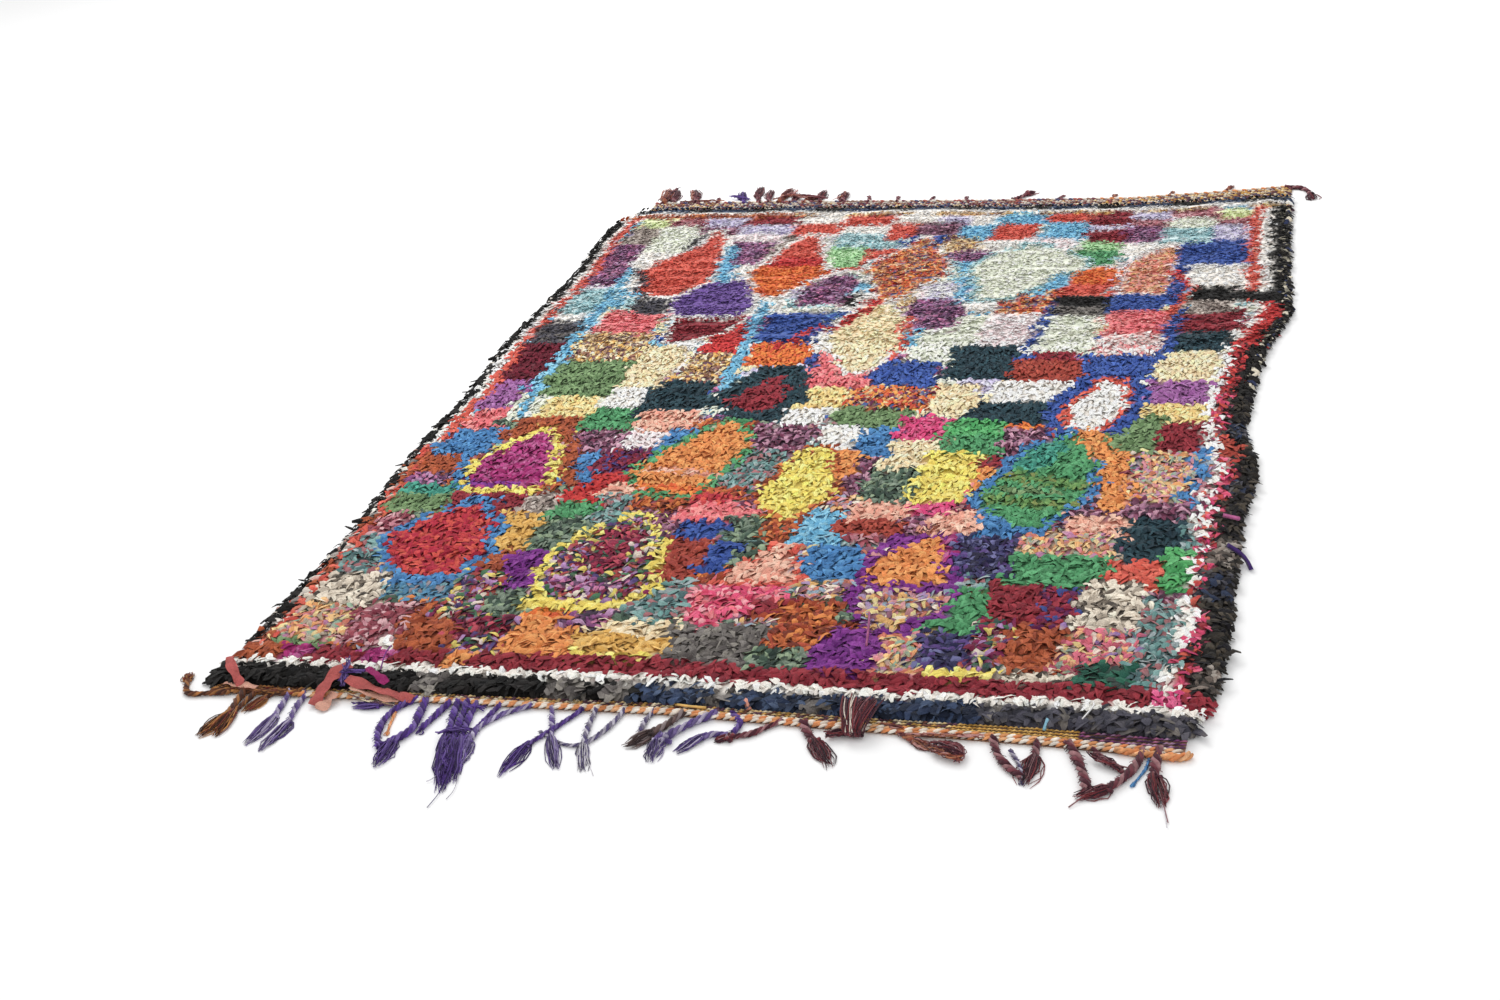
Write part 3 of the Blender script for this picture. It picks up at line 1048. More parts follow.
@dataclass
class RagPile:
    """Rag strips knotted into the ground in rows, coarse at the near end and fine at the far end."""

    pattern: Pattern
    rng: np.random.Generator
    steps: tuple[tuple[float, float, float], ...] = (
        (-0.94, 0.0090, 0.0077),
        (-0.50, 0.0085, 0.0072),
        (0.25, 0.0074, 0.0061),
        (0.98, 0.0065, 0.0052),
    )
    near_length: float = 0.0240
    far_length: float = 0.0140
    near_width: float = 0.0122
    far_width: float = 0.0050
    thickness: float = 0.0014
    lift: float = 0.0025
    lift_loss: float = 0.0008
    far_gain: float = 0.30
    brightest: float = 0.87
    crumple: float = 0.0012
    root_shade: float = 0.12
    root_sink: float = 0.0032
    white_row: float = -0.892
    white_length: float = 0.62
    border_row: float = -0.898
    border_growth: float = 1.25
    border_fading: float = 0.20
    white_width: float = 0.75
    coarse_until: float = -0.50
    plain_from: float = 0.25

    def knots(self) -> tuple[np.ndarray, np.ndarray, np.ndarray]:
        """Places the knots row by row.

        Returns:
            X and Y of each knot, and its share of the way from the near end to the far end.
        """
        xs, ys, shares = [], [], []
        y = -0.934
        while y < 0.972:
            share = (y + 0.94) / 1.9
            left, right = side_lines(np.array(y))
            step = float(row_at(self.steps, y, 2))
            x = np.arange(float(left) + 0.004, float(right) - 0.003, step)
            x = x + self.rng.uniform(0.0, step) + self.rng.normal(0.0, 0.25 * step, x.shape)
            row = y + self.rng.normal(0.0, 0.0012, x.shape)
            near = row_at(NEAR_END, x, 1)
            far = row_at(FAR_END, x, 1)
            keep = (row > near + 0.010) & (row < far - 0.003)
            xs.append(x[keep])
            ys.append(row[keep])
            shares.append(np.full(int(keep.sum()), share))
            y += float(row_at(self.steps, y, 1))
        return np.concatenate(xs), np.concatenate(ys), np.concatenate(shares)

    def paths(
        self, x: np.ndarray, y: np.ndarray, top: np.ndarray, share: np.ndarray, rings: int
    ) -> np.ndarray:
        """Lays each strip forward over the row before it.

        Args:
            x: Across, at the knot.
            y: Along, at the knot.
            top: Height of the pile's solid there.
            share: Share of the way to the far end.
            rings: Number of points on each path.

        Returns:
            The paths.
        """
        count = len(x)
        length = self.near_length + share * (self.far_length - self.near_length)
        length = length * self.rng.uniform(0.72, 1.20, count)
        length = length * np.where(np.abs(y - self.white_row) < 0.010, self.white_length, 1.0)
        spread = 0.80 - 0.42 * share
        heading = self.rng.normal(0.0, spread, count) - 0.5 * math.pi
        lift = (self.lift - self.lift_loss * share) * self.rng.uniform(0.5, 1.5, count)
        droop = self.rng.uniform(-0.45, 0.80, count) if rings > 2 else self.rng.uniform(0.0, 1.3, count)
        bend = self.rng.normal(0.0, 0.22, count)
        along = np.linspace(0.0, 1.0, rings)
        forward = length[:, None] * along ** 1.15
        sideways = length[:, None] * bend[:, None] * along**2
        rise = np.interp(along, (0.0, 0.4, 0.7, 1.0), (0.0, 0.9, 1.0, 0.0))
        last = np.interp(along, (0.0, 0.7, 1.0), (0.0, 0.0, 1.0))
        height = rise[None] * lift[:, None] + last[None] * (lift * droop)[:, None]
        sunk = np.interp(along, (0.0, 0.4, 1.0), (1.0, 0.25, 0.1))
        z = top[:, None] + height - self.root_sink * sunk[None]
        cos, sin = np.cos(heading)[:, None], np.sin(heading)[:, None]
        px = x[:, None] + forward * cos - sideways * sin
        py = y[:, None] + forward * sin + sideways * cos
        paths = np.stack([px, py, z], axis=2)
        reach = self.crumple * (1.0 - share)[:, None, None] * np.array((1.0, 1.0, 0.5))
        paths[:, 1:] += reach * self.rng.standard_normal((count, rings - 1, 3))
        return paths

    def locks(self, strips: Strips, paths: np.ndarray, share: np.ndarray, yarns: np.ndarray) -> None:
        """Sweeps the strips, crumpled and shaded darker at their roots.

        Args:
            strips: The mesh that takes them.
            paths: Their paths.
            share: Share of the way to the far end.
            yarns: The yarn number of each strip.
        """
        count, rings = paths.shape[:2]
        width = self.near_width + share * (self.far_width - self.near_width)
        width = width * self.rng.uniform(0.65, 1.25, count)
        tip = 0.42 if rings > 2 else 0.9
        profile = np.interp(np.linspace(0, 1, rings), (0.0, 0.35, 0.75, 1.0), (0.5, 1.0, 1.0, tip))
        along = paths[:, 0, 1]
        border = along < self.border_row
        width = width * np.where(border, self.border_growth, 1.0)
        width = width * np.where(np.abs(along - self.white_row) < 0.010, self.white_width, 1.0)
        widths = width[:, None] * profile[None] * self.rng.uniform(0.72, 1.28, (count, rings))
        depths = self.thickness * (1.0 - 0.3 * share)[:, None] * profile[None]
        depths = depths * self.rng.uniform(0.7, 1.3, (count, rings))
        calm = 1.0 - 0.35 * share
        twist = (0.36 * calm * self.rng.standard_normal(count))[:, None] * np.linspace(0.3, 1.0, rings)
        roll = (0.23 * calm * self.rng.standard_normal(count))[:, None] + twist
        fading = np.where(border, self.border_fading, 0.06 + 0.15 * share)
        colours = np.repeat(dyed(yarns, self.rng, fading)[:, None], rings, axis=1)
        second = dyed(yarns, self.rng, fading)[:, None]
        colours = np.where(np.arange(rings)[None, :, None] > rings - 2, 0.5 * (colours + second), colours)
        gone = np.interp(np.linspace(0, 1, rings), (0.0, 0.5, 1.0), (1.0, 0.1, 0.0))
        shade = (1.0 + self.far_gain * share)[:, None] * (1.0 - self.root_shade * gone)[None]
        colours = np.minimum(colours * shade[..., None], self.brightest)
        strips.sweep(paths, widths, depths, colours, 3, roll)

    def skirt(
        self, strips: Strips, places: np.ndarray, outward: np.ndarray, share: float, reach: float = 0.013
    ) -> None:
        """Hangs two tiers of strips over the pile's edge.

        Args:
            strips: The mesh that takes them.
            places: Points along the edge, as X and Y.
            outward: Direction away from the rug at each point.
            share: Share of the way to the far end, which sets how coarse they are.
            reach: How far they hang out.
        """
        for root, tip, inset in ((0.0135, 0.0070, 0.004), (0.0080, 0.0026, 0.003)):
            count = len(places)
            turn = self.rng.normal(0.0, 0.5, count)
            cos, sin = np.cos(turn), np.sin(turn)
            way = np.stack(
                [outward[:, 0] * cos - outward[:, 1] * sin, outward[:, 0] * sin + outward[:, 1] * cos], 1
            )
            start = places + self.rng.normal(0.0, 0.0015, (count, 2)) - inset * outward
            along = np.linspace(0.0, 1.0, 4)
            length = reach * self.rng.uniform(0.6, 1.25, count)
            flat = start[:, None] + way[:, None] * (length[:, None] * along[None])[..., None]
            arc = np.array((0.0, 0.0016, 0.0006, 0.0))
            z = root + (tip - root) * along**1.4 + arc
            z = np.broadcast_to(z, (count, 4)) * self.rng.uniform(0.85, 1.15, (count, 1))
            paths = np.concatenate([flat, z[..., None]], axis=2)
            yarns = self.pattern.yarns_at(start[:, 0], start[:, 1])
            self.locks(strips, paths, np.full(count, share), yarns)

    def edges(self, strips: Strips) -> None:
        """Hangs strips over all four edges of the pile."""
        for step, table, outward in ((0.0056, NEAR_END, -1.0), (0.0048, FAR_END, 1.0)):
            x = np.arange(-0.687, 0.687, step)
            y = row_at(table, x, 1) - outward * (0.0085 if outward < 0 else 0.004)
            ways = np.tile((0.0, outward), (len(x), 1))
            self.skirt(strips, np.stack([x, y], 1), ways, 0.5 + 0.3 * outward)
        y = np.arange(-0.925, 0.965, 0.0052)
        for side in (0, 1):
            x = side_lines(y)[side]
            ways = np.tile((2.0 * side - 1.0, 0.0), (len(y), 1))
            ways = unit(ways + np.array((0.0, -0.35)))
            self.skirt(strips, np.stack([x, y], 1), ways, 0.35)
        y = np.arange(-0.936, -0.890, 0.0026)
        ways = unit(np.tile((-1.0, -0.2), (len(y), 1)))
        self.skirt(strips, np.stack([side_lines(y)[0], y], 1), ways, 0.0, 0.027)

    def build(self, solid: BVHTree, material: bpy.types.Material) -> list[bpy.types.Object]:
        """Knots the whole pile.

        Args:
            solid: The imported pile.
            material: The finish.

        Returns:
            The pile's pieces, from the near end to the far end.
        """
        x, y, share = self.knots()
        down = Vector((0.0, 0.0, -1.0))
        hits = [solid.ray_cast(Vector((a, b, 0.2)), down)[0] for a, b in zip(x, y)]
        top = np.array([hit.z if hit else 0.012 for hit in hits])
        left, right = side_lines(y)
        edge = np.minimum(x - left, right - x)
        top = np.where(edge < 0.010, np.minimum(top, 0.0125), top)
        pieces = []
        coarse = y < self.coarse_until
        plain = y > self.plain_from
        groups = [(coarse, 4, 2), (~coarse & ~plain, 3, 3), (plain, 2, 2)]
        for chosen, rings, parts in groups:
            for part in np.array_split(np.flatnonzero(chosen), parts):
                strips = Strips()
                paths = self.paths(x[part], y[part], top[part], share[part], rings)
                middle = paths[:, rings // 2]
                yarns = self.pattern.yarns_at(middle[:, 0], middle[:, 1])
                self.locks(strips, paths, share[part], yarns)
                pieces.append(strips.build(f"rag_pile_{len(pieces) + 1}", material, False))
        strips = Strips()
        self.edges(strips)
        pieces.append(strips.build("rag_pile_edges", material, False))
        return pieces


class Tip(Enum):
    """How a warp end is finished."""

    PLAIN = "plain"
    KNOT = "knot"
    TUFT = "tuft"
    JOINED = "joined"


@dataclass(frozen=True)
class WarpEnd:
    """One plied warp end: its width in millimetres and its run over the floor in centimetres."""

    yarn: Yarn
    width: float
    tip: Tip
    run: tuple[tuple[float, float], ...]


@dataclass(frozen=True)
class Heap:
    """A heap of slack threads round a line: half its width and the places in centimetres."""

    yarn: Yarn
    reach: float
    threads: int
    run: tuple[tuple[float, float, float], ...]


BROWN, LAVENDER, LILAC = Yarn.TWIST_BROWN, Yarn.TWIST_LAVENDER, Yarn.TWIST_LILAC
DEEP, MAROON, RUSTY = Yarn.TWIST_PURPLE, Yarn.TWIST_MAROON, Yarn.TWIST_RUST

NEAR_WARP_ENDS = (
    WarpEnd(BROWN, 11, Tip.TUFT, ((-63.8, -95.4), (-63.7, -99.2), (-63.5, -101.6), (-65.0, -107.0))),
    WarpEnd(BROWN, 9, Tip.TUFT, ((-62.0, -95.8), (-62.6, -98.8), (-62.8, -101.0), (-62.6, -106.6))),
    WarpEnd(BROWN, 8, Tip.TUFT, ((-58.9, -94.9), (-60.0, -97.0), (-61.6, -100.6))),
    WarpEnd(LAVENDER, 9, Tip.TUFT, ((-56.8, -95.0), (-56.5, -98.5), (-55.9, -101.6), (-57.0, -108.0))),
    WarpEnd(LAVENDER, 9, Tip.TUFT, ((-54.1, -95.0), (-54.0, -98.9), (-53.3, -102.6), (-54.1, -109.0))),
    WarpEnd(DEEP, 8, Tip.TUFT, ((-40.5, -95.6), (-42.0, -97.2), (-45.6, -97.6))),
    WarpEnd(DEEP, 10, Tip.JOINED, ((-36.5, -95.0), (-38.8, -97.0), (-39.4, -100.2), (-38.9, -103.8), (-37.0, -106.8))),
    WarpEnd(DEEP, 12, Tip.TUFT, ((-35.2, -95.2), (-34.7, -99.0), (-34.0, -102.5), (-35.6, -105.3), (-35.6, -111.0))),
    WarpEnd(Yarn.TWIST_ORANGE, 5, Tip.PLAIN, ((-39.6, -95.8), (-38.4, -99.1), (-37.7, -102.7))),
    WarpEnd(DEEP, 10, Tip.PLAIN, ((-31.4, -95.3), (-32.3, -98.1), (-32.9, -101.9))),
    WarpEnd(DEEP, 11, Tip.TUFT, ((-30.4, -95.0), (-29.5, -99.2), (-28.4, -103.2), (-25.0, -113.0))),
    WarpEnd(DEEP, 11, Tip.TUFT, ((-28.9, -95.0), (-28.2, -99.7), (-27.1, -104.0), (-24.2, -115.0))),
    WarpEnd(DEEP, 10, Tip.TUFT, ((-27.4, -95.2), (-27.2, -99.6), (-26.0, -104.0), (-23.4, -112.8))),
    WarpEnd(LAVENDER, 9, Tip.TUFT, ((-19.2, -94.8), (-22.8, -97.0), (-24.9, -100.4), (-25.0, -104.0), (-24.2, -109.6))),
    WarpEnd(DEEP, 8, Tip.TUFT, ((-23.9, -95.0), (-24.9, -99.0), (-25.4, -103.0), (-25.4, -108.0))),
    WarpEnd(DEEP, 8, Tip.TUFT, ((-11.7, -95.0), (-13.7, -98.9), (-15.2, -101.6), (-16.4, -104.0), (-17.4, -110.8))),
    WarpEnd(LAVENDER, 8, Tip.TUFT, ((-16.3, -95.0), (-14.7, -99.0), (-13.8, -101.9), (-10.4, -108.4))),
    WarpEnd(LILAC, 6, Tip.PLAIN, ((-8.7, -103.0), (-10.4, -103.4), (-12.5, -102.6), (-15.4, -100.8))),
    WarpEnd(LILAC, 8, Tip.TUFT, ((-9.8, -94.9), (-9.5, -99.2), (-8.8, -102.8), (-6.6, -108.4))),
    WarpEnd(LILAC, 8, Tip.JOINED, ((-5.8, -94.6), (-6.6, -98.9), (-7.8, -101.3), (-8.8, -103.0))),
    WarpEnd(LILAC, 8, Tip.JOINED, ((-1.4, -94.2), (-2.2, -96.2), (-1.8, -99.4))),
    WarpEnd(Yarn.TWIST_UMBER, 12, Tip.TUFT, ((2.8, -94.6), (1.2, -97.6), (-0.2, -99.6), (-3.0, -102.6))),
    WarpEnd(LAVENDER, 12, Tip.KNOT, ((7.4, -94.2), (5.0, -96.1), (3.2, -98.4), (2.0, -100.8))),
    WarpEnd(LAVENDER, 10, Tip.TUFT, ((1.4, -99.9), (1.2, -101.0), (2.0, -105.6))),
    WarpEnd(DEEP, 10, Tip.JOINED, ((9.3, -94.0), (11.4, -95.6), (10.7, -98.4))),
    WarpEnd(LAVENDER, 9, Tip.TUFT, ((10.4, -98.9), (8.4, -98.6), (6.8, -99.6), (4.6, -103.2))),
    WarpEnd(MAROON, 9, Tip.KNOT, ((16.8, -94.8), (14.8, -96.6), (13.2, -98.3), (10.6, -99.2))),
    WarpEnd(MAROON, 12, Tip.TUFT, ((19.6, -95.0), (20.9, -97.6), (22.0, -99.0), (25.6, -104.2))),
    WarpEnd(MAROON, 10, Tip.JOINED, ((23.6, -97.6), (25.0, -96.6), (27.0, -96.9))),
    WarpEnd(RUSTY, 9, Tip.TUFT, ((31.4, -95.0), (33.6, -96.6), (35.2, -97.6), (38.0, -99.0))),
    WarpEnd(MAROON, 11, Tip.JOINED, ((45.0, -95.9), (46.2, -99.7), (48.4, -102.4), (50.2, -103.6))),
    WarpEnd(MAROON, 10, Tip.TUFT, ((50.6, -96.0), (50.9, -99.4), (50.4, -105.2))),
    WarpEnd(LILAC, 6, Tip.PLAIN, ((47.6, -98.2), (49.2, -100.6), (50.0, -104.0))),
    WarpEnd(MAROON, 13, Tip.JOINED, ((54.5, -96.0), (56.3, -99.2), (57.2, -102.1), (58.3, -105.4))),
    WarpEnd(MAROON, 12, Tip.TUFT, ((64.0, -96.6), (63.4, -100.2), (62.2, -103.2), (60.6, -105.0), (57.0, -107.0))),
    WarpEnd(MAROON, 8, Tip.PLAIN, ((57.7, -96.8), (59.7, -99.0), (62.2, -101.3))),
    WarpEnd(Yarn.STEEL, 4, Tip.PLAIN, ((64.9, -97.0), (64.7, -100.2), (63.8, -103.0))),
    WarpEnd(MAROON, 13, Tip.TUFT, ((66.0, -96.0), (65.7, -99.6), (65.9, -102.0), (67.6, -107.6))),
)
FAR_WARP_ENDS = (
    WarpEnd(RUSTY, 14, Tip.TUFT, ((-67.2, 102.0), (-67.8, 105.6), (-69.4, 112.8))),
    WarpEnd(MAROON, 10, Tip.TUFT, ((-64.6, 102.2), (-66.0, 105.0), (-67.0, 111.6))),
    WarpEnd(MAROON, 12, Tip.TUFT, ((-59.6, 101.8), (-60.6, 105.6), (-63.0, 111.6))),
    WarpEnd(MAROON, 8, Tip.PLAIN, ((-54.6, 101.8), (-55.0, 105.2))),
    WarpEnd(DEEP, 10, Tip.TUFT, ((-48.2, 101.4), (-49.2, 104.6), (-51.0, 109.6))),
    WarpEnd(MAROON, 10, Tip.TUFT, ((-44.5, 101.4), (-46.4, 106.0), (-47.4, 112.6))),
    WarpEnd(MAROON, 9, Tip.TUFT, ((-42.6, 101.4), (-43.2, 105.0), (-44.4, 110.4))),
    WarpEnd(RUSTY, 12, Tip.TUFT, ((-40.2, 101.4), (-39.8, 105.6), (-39.2, 111.0))),
    WarpEnd(MAROON, 8, Tip.TUFT, ((-37.4, 101.2), (-36.8, 103.6), (-37.6, 107.4))),
    WarpEnd(RUSTY, 8, Tip.TUFT, ((-34.4, 101.0), (-34.0, 103.0), (-31.8, 106.0))),
    WarpEnd(MAROON, 10, Tip.TUFT, ((-30.8, 101.0), (-31.2, 104.2), (-31.8, 109.4))),
    WarpEnd(MAROON, 11, Tip.TUFT, ((-25.6, 100.8), (-26.0, 103.6), (-26.5, 108.4))),
    WarpEnd(MAROON, 8, Tip.PLAIN, ((-19.6, 100.6), (-20.2, 104.6))),
    WarpEnd(MAROON, 8, Tip.PLAIN, ((-13.2, 100.4), (-13.6, 103.8))),
    WarpEnd(MAROON, 7, Tip.PLAIN, ((-6.0, 100.2), (-5.8, 103.2))),
    WarpEnd(MAROON, 7, Tip.PLAIN, ((2.0, 100.0), (1.6, 103.0))),
    WarpEnd(MAROON, 10, Tip.KNOT, ((12.0, 100.0), (13.0, 101.6), (14.8, 104.2))),
    WarpEnd(MAROON, 7, Tip.PLAIN, ((21.5, 99.8), (22.2, 102.4))),
    WarpEnd(RUSTY, 7, Tip.PLAIN, ((33.0, 99.6), (33.4, 102.4))),
    WarpEnd(RUSTY, 8, Tip.PLAIN, ((44.6, 100.6), (45.0, 103.4))),
    WarpEnd(RUSTY, 10, Tip.PLAIN, ((56.0, 102.6), (56.6, 105.8))),
)

# The band's own cord runs out past a corner at the near left and at the far right.
NEAR_CORNER_CORD = WarpEnd(
    BROWN,
    9.5,
    Tip.TUFT,
    ((-66.0, -96.2), (-69.0, -96.6), (-71.2, -97.2), (-72.8, -97.0), (-73.9, -95.6), (-74.6, -93.6), (-75.6, -91.4)),
)
FAR_CORNER_CORD = WarpEnd(
    MAROON,
    9.5,
    Tip.TUFT,
    ((67.5, 104.6), (70.2, 104.4), (71.6, 103.4), (72.4, 102.0), (72.9, 100.4), (73.9, 97.6)),
)
NEAR_TURNED_CORD = WarpEnd(
    Yarn.TWIST_ORANGE,
    11,
    Tip.JOINED,
    ((60.5, -96.9), (64.0, -97.2), (67.0, -97.7), (69.0, -97.6), (69.8, -96.6)),
)

# Heaps of slack yarn at the near end, with heights.
HEAPS = (
    Heap(DEEP, 0.55, 34, ((-27.9, -103.6, 0.9), (-26.6, -107.0, 1.1), (-25.2, -111.4, 0.7))),
    Heap(DEEP, 0.40, 16, ((-29.6, -103.4, 0.9), (-27.4, -102.4, 1.3), (-25.4, -102.0, 0.9))),
    Heap(DEEP, 0.42, 16, ((-30.2, -95.4, 0.6), (-28.0, -96.6, 0.7), (-26.0, -96.0, 0.5))),
    Heap(DEEP, 0.40, 20, ((-37.6, -106.2, 0.7), (-35.6, -106.0, 0.7))),
    Heap(DEEP, 0.50, 26, ((-49.6, -89.4, 2.8), (-49.0, -92.0, 2.7), (-48.2, -94.8, 1.9))),
    Heap(DEEP, 0.40, 16, ((-50.6, -92.6, 2.6), (-46.0, -92.2, 2.7))),
    Heap(Yarn.OCHRE, 0.30, 14, ((-47.0, -95.6, 1.1), (-43.0, -96.8, 0.7), (-39.0, -97.0, 0.5))),
    Heap(DEEP, 0.25, 8, ((-46.0, -97.0, 0.5), (-40.0, -96.8, 0.5))),
    Heap(BROWN, 0.40, 20, ((-66.0, -95.6, 1.0), (-61.0, -96.0, 0.9), (-56.0, -95.2, 0.8))),
    Heap(LAVENDER, 0.30, 12, ((1.0, -99.6, 0.7), (2.8, -100.8, 0.6))),
    Heap(MAROON, 0.45, 22, ((23.6, -97.9, 0.8), (25.2, -96.8, 1.0), (26.8, -97.2, 0.8))),
    Heap(RUSTY, 0.35, 22, ((33.0, -96.6, 0.6), (37.0, -96.6, 0.9), (44.0, -95.8, 0.7))),
    Heap(MAROON, 0.42, 26, ((37.4, -98.2, 0.8), (40.0, -97.8, 0.9), (42.4, -99.4, 0.8), (41.4, -101.4, 0.6))),
    Heap(RUSTY, 0.55, 30, ((41.8, -101.0, 0.8), (39.4, -100.6, 0.9), (37.6, -98.8, 0.8))),
    Heap(MAROON, 0.60, 26, ((38.4, -98.8, 1.0), (40.0, -99.4, 1.1), (41.6, -100.2, 0.9))),
    Heap(MAROON, 0.55, 28, ((57.4, -98.4, 0.9), (59.8, -99.6, 1.0), (61.8, -101.0, 0.7))),
    Heap(MAROON, 0.35, 14, ((57.8, -104.6, 0.7), (59.4, -105.4, 0.7))),
    Heap(RUSTY, 0.30, 14, ((30.0, -94.6, 0.9), (33.0, -95.4, 0.9))),
)

# Heaps of slack yarn on the left part of the far band, with heights.
FAR_HEAPS = (
    Heap(RUSTY, 0.45, 24, ((-68.5, 103.0, 1.0), (-68.0, 106.5, 0.9), (-69.4, 111.0, 0.6))),
    Heap(MAROON, 0.45, 16, ((-67.0, 104.0, 1.0), (-67.6, 108.0, 0.8), (-67.0, 112.0, 0.6))),
    Heap(RUSTY, 0.40, 18, ((-60.6, 102.8, 0.9), (-62.0, 107.0, 0.8), (-63.2, 110.5, 0.6))),
    Heap(RUSTY, 0.35, 14, ((-63.5, 102.4, 0.8), (-58.0, 102.6, 0.8), (-52.0, 102.4, 0.8))),
    Heap(DEEP, 0.35, 12, ((-52.5, 105.4, 0.7), (-49.2, 104.4, 0.9), (-47.0, 102.6, 0.8))),
    Heap(MAROON, 0.40, 18, ((-45.0, 102.8, 0.9), (-46.8, 107.4, 0.8), (-47.4, 111.0, 0.6))),
    Heap(RUSTY, 0.50, 28, ((-41.5, 102.6, 0.9), (-38.5, 104.6, 1.1), (-34.0, 103.0, 0.9))),
    Heap(MAROON, 0.45, 22, ((-38.0, 105.4, 0.9), (-33.4, 103.6, 1.0), (-29.0, 102.6, 0.9))),
    Heap(RUSTY, 0.35, 12, ((-27.4, 102.2, 0.8), (-25.8, 104.4, 0.8), (-26.4, 107.2, 0.6))),
)

# Single slack threads and scraps: yarn, thickness in millimetres and places with heights.
THREADS = (
    (LILAC, 1.3, ((-24.4, -111.0, 0.4), (-24.0, -115.4, 0.3), (-24.4, -118.6, 0.2))),
    (LILAC, 1.2, ((-23.4, -110.6, 0.4), (-22.2, -114.6, 0.3), (-22.6, -116.6, 0.2))),
    (LILAC, 1.2, ((-25.4, -108.8, 0.5), (-26.2, -112.6, 0.3), (-27.0, -113.2, 0.2))),
    (LILAC, 1.2, ((-7.2, -105.6, 0.4), (-5.8, -107.8, 0.3), (-4.8, -109.4, 0.2))),
    (MAROON, 2.2, ((58.6, -105.8, 0.4), (57.8, -107.2, 0.4), (56.6, -108.8, 0.2))),
    (MAROON, 1.6, ((67.0, -105.0, 0.4), (67.8, -107.4, 0.3), (68.6, -110.4, 0.2))),
    (LILAC, 1.2, ((67.0, -106.0, 0.3), (68.0, -108.4, 0.3), (68.6, -111.4, 0.2))),
    (Yarn.PURPLE, 2.4, ((-45.2, -84.8, 2.4), (-44.6, -88.0, 3.1), (-43.6, -91.6, 2.7))),
    (Yarn.CREAM, 2.2, ((56.8, -89.3, 2.5), (57.3, -91.0, 3.1), (56.0, -93.2, 2.4))),
    (Yarn.SKY, 6.0, ((51.5, -92.8, 1.8), (51.2, -94.2, 1.0))),
    (Yarn.SALMON, 8.5, ((11.0, -92.4, 1.8), (11.8, -93.6, 1.1))),
    (Yarn.MUSTARD, 4.0, ((1.0, -93.2, 0.9), (3.5, -93.8, 1.1), (5.6, -93.4, 0.8))),
    (Yarn.MAGENTA, 4.2, ((22.6, -70.0, 2.4), (23.6, -74.0, 3.1), (24.4, -79.0, 2.6))),
    (DEEP, 8.0, ((69.8, -47.0, 2.0), (72.4, -48.8, 1.3), (73.4, -51.0, 0.5))),
    (Yarn.MAGENTA, 7.0, ((68.4, -38.6, 2.2), (70.8, -39.2, 2.0))),
)

# Torn strips of rag over the near border: yarn, width in millimetres and places with heights.
RIBBONS = (
    (Yarn.RAG_CORAL, 15, ((-68.9, -90.2, 2.5), (-67.9, -92.0, 2.9), (-66.0, -94.0, 2.2), (-64.4, -95.4, 1.3))),
    (Yarn.SALMON, 13, ((-67.4, -95.0, 1.2), (-64.8, -95.2, 1.4), (-62.0, -95.4, 1.0))),
    (Yarn.RAG_CORAL, 23, ((-49.0, -90.6, 2.6), (-50.4, -93.0, 2.5), (-51.2, -95.6, 1.5), (-51.4, -98.2, 0.5))),
    (Yarn.SALMON, 20, ((-49.2, -95.6, 1.1), (-49.7, -97.4, 0.7), (-50.2, -99.0, 0.4))),
    (Yarn.RAG_CORAL, 18, ((-48.0, -93.6, 2.3), (-44.4, -94.8, 1.9), (-40.4, -95.4, 1.5), (-37.0, -95.8, 0.9))),
    (Yarn.SALMON, 12, ((-47.0, -94.8, 1.7), (-43.0, -96.0, 1.3), (-38.8, -96.4, 0.9))),
    (Yarn.MAGENTA, 13, ((-45.8, -91.6, 2.8), (-43.4, -93.0, 2.8), (-41.6, -94.0, 2.1))),
)

# One near tassel is folded back over the border, seen from the side as out from the band and height.
FOLDED_TASSEL_ACROSS = 0.272
FOLDED_TASSEL = (
    (0.000, 0.0030),
    (0.010, 0.0045),
    (0.018, 0.0080),
    (0.021, 0.0150),
    (0.014, 0.0225),
    (0.000, 0.0275),
    (-0.022, 0.0295),
    (-0.048, 0.0275),
)


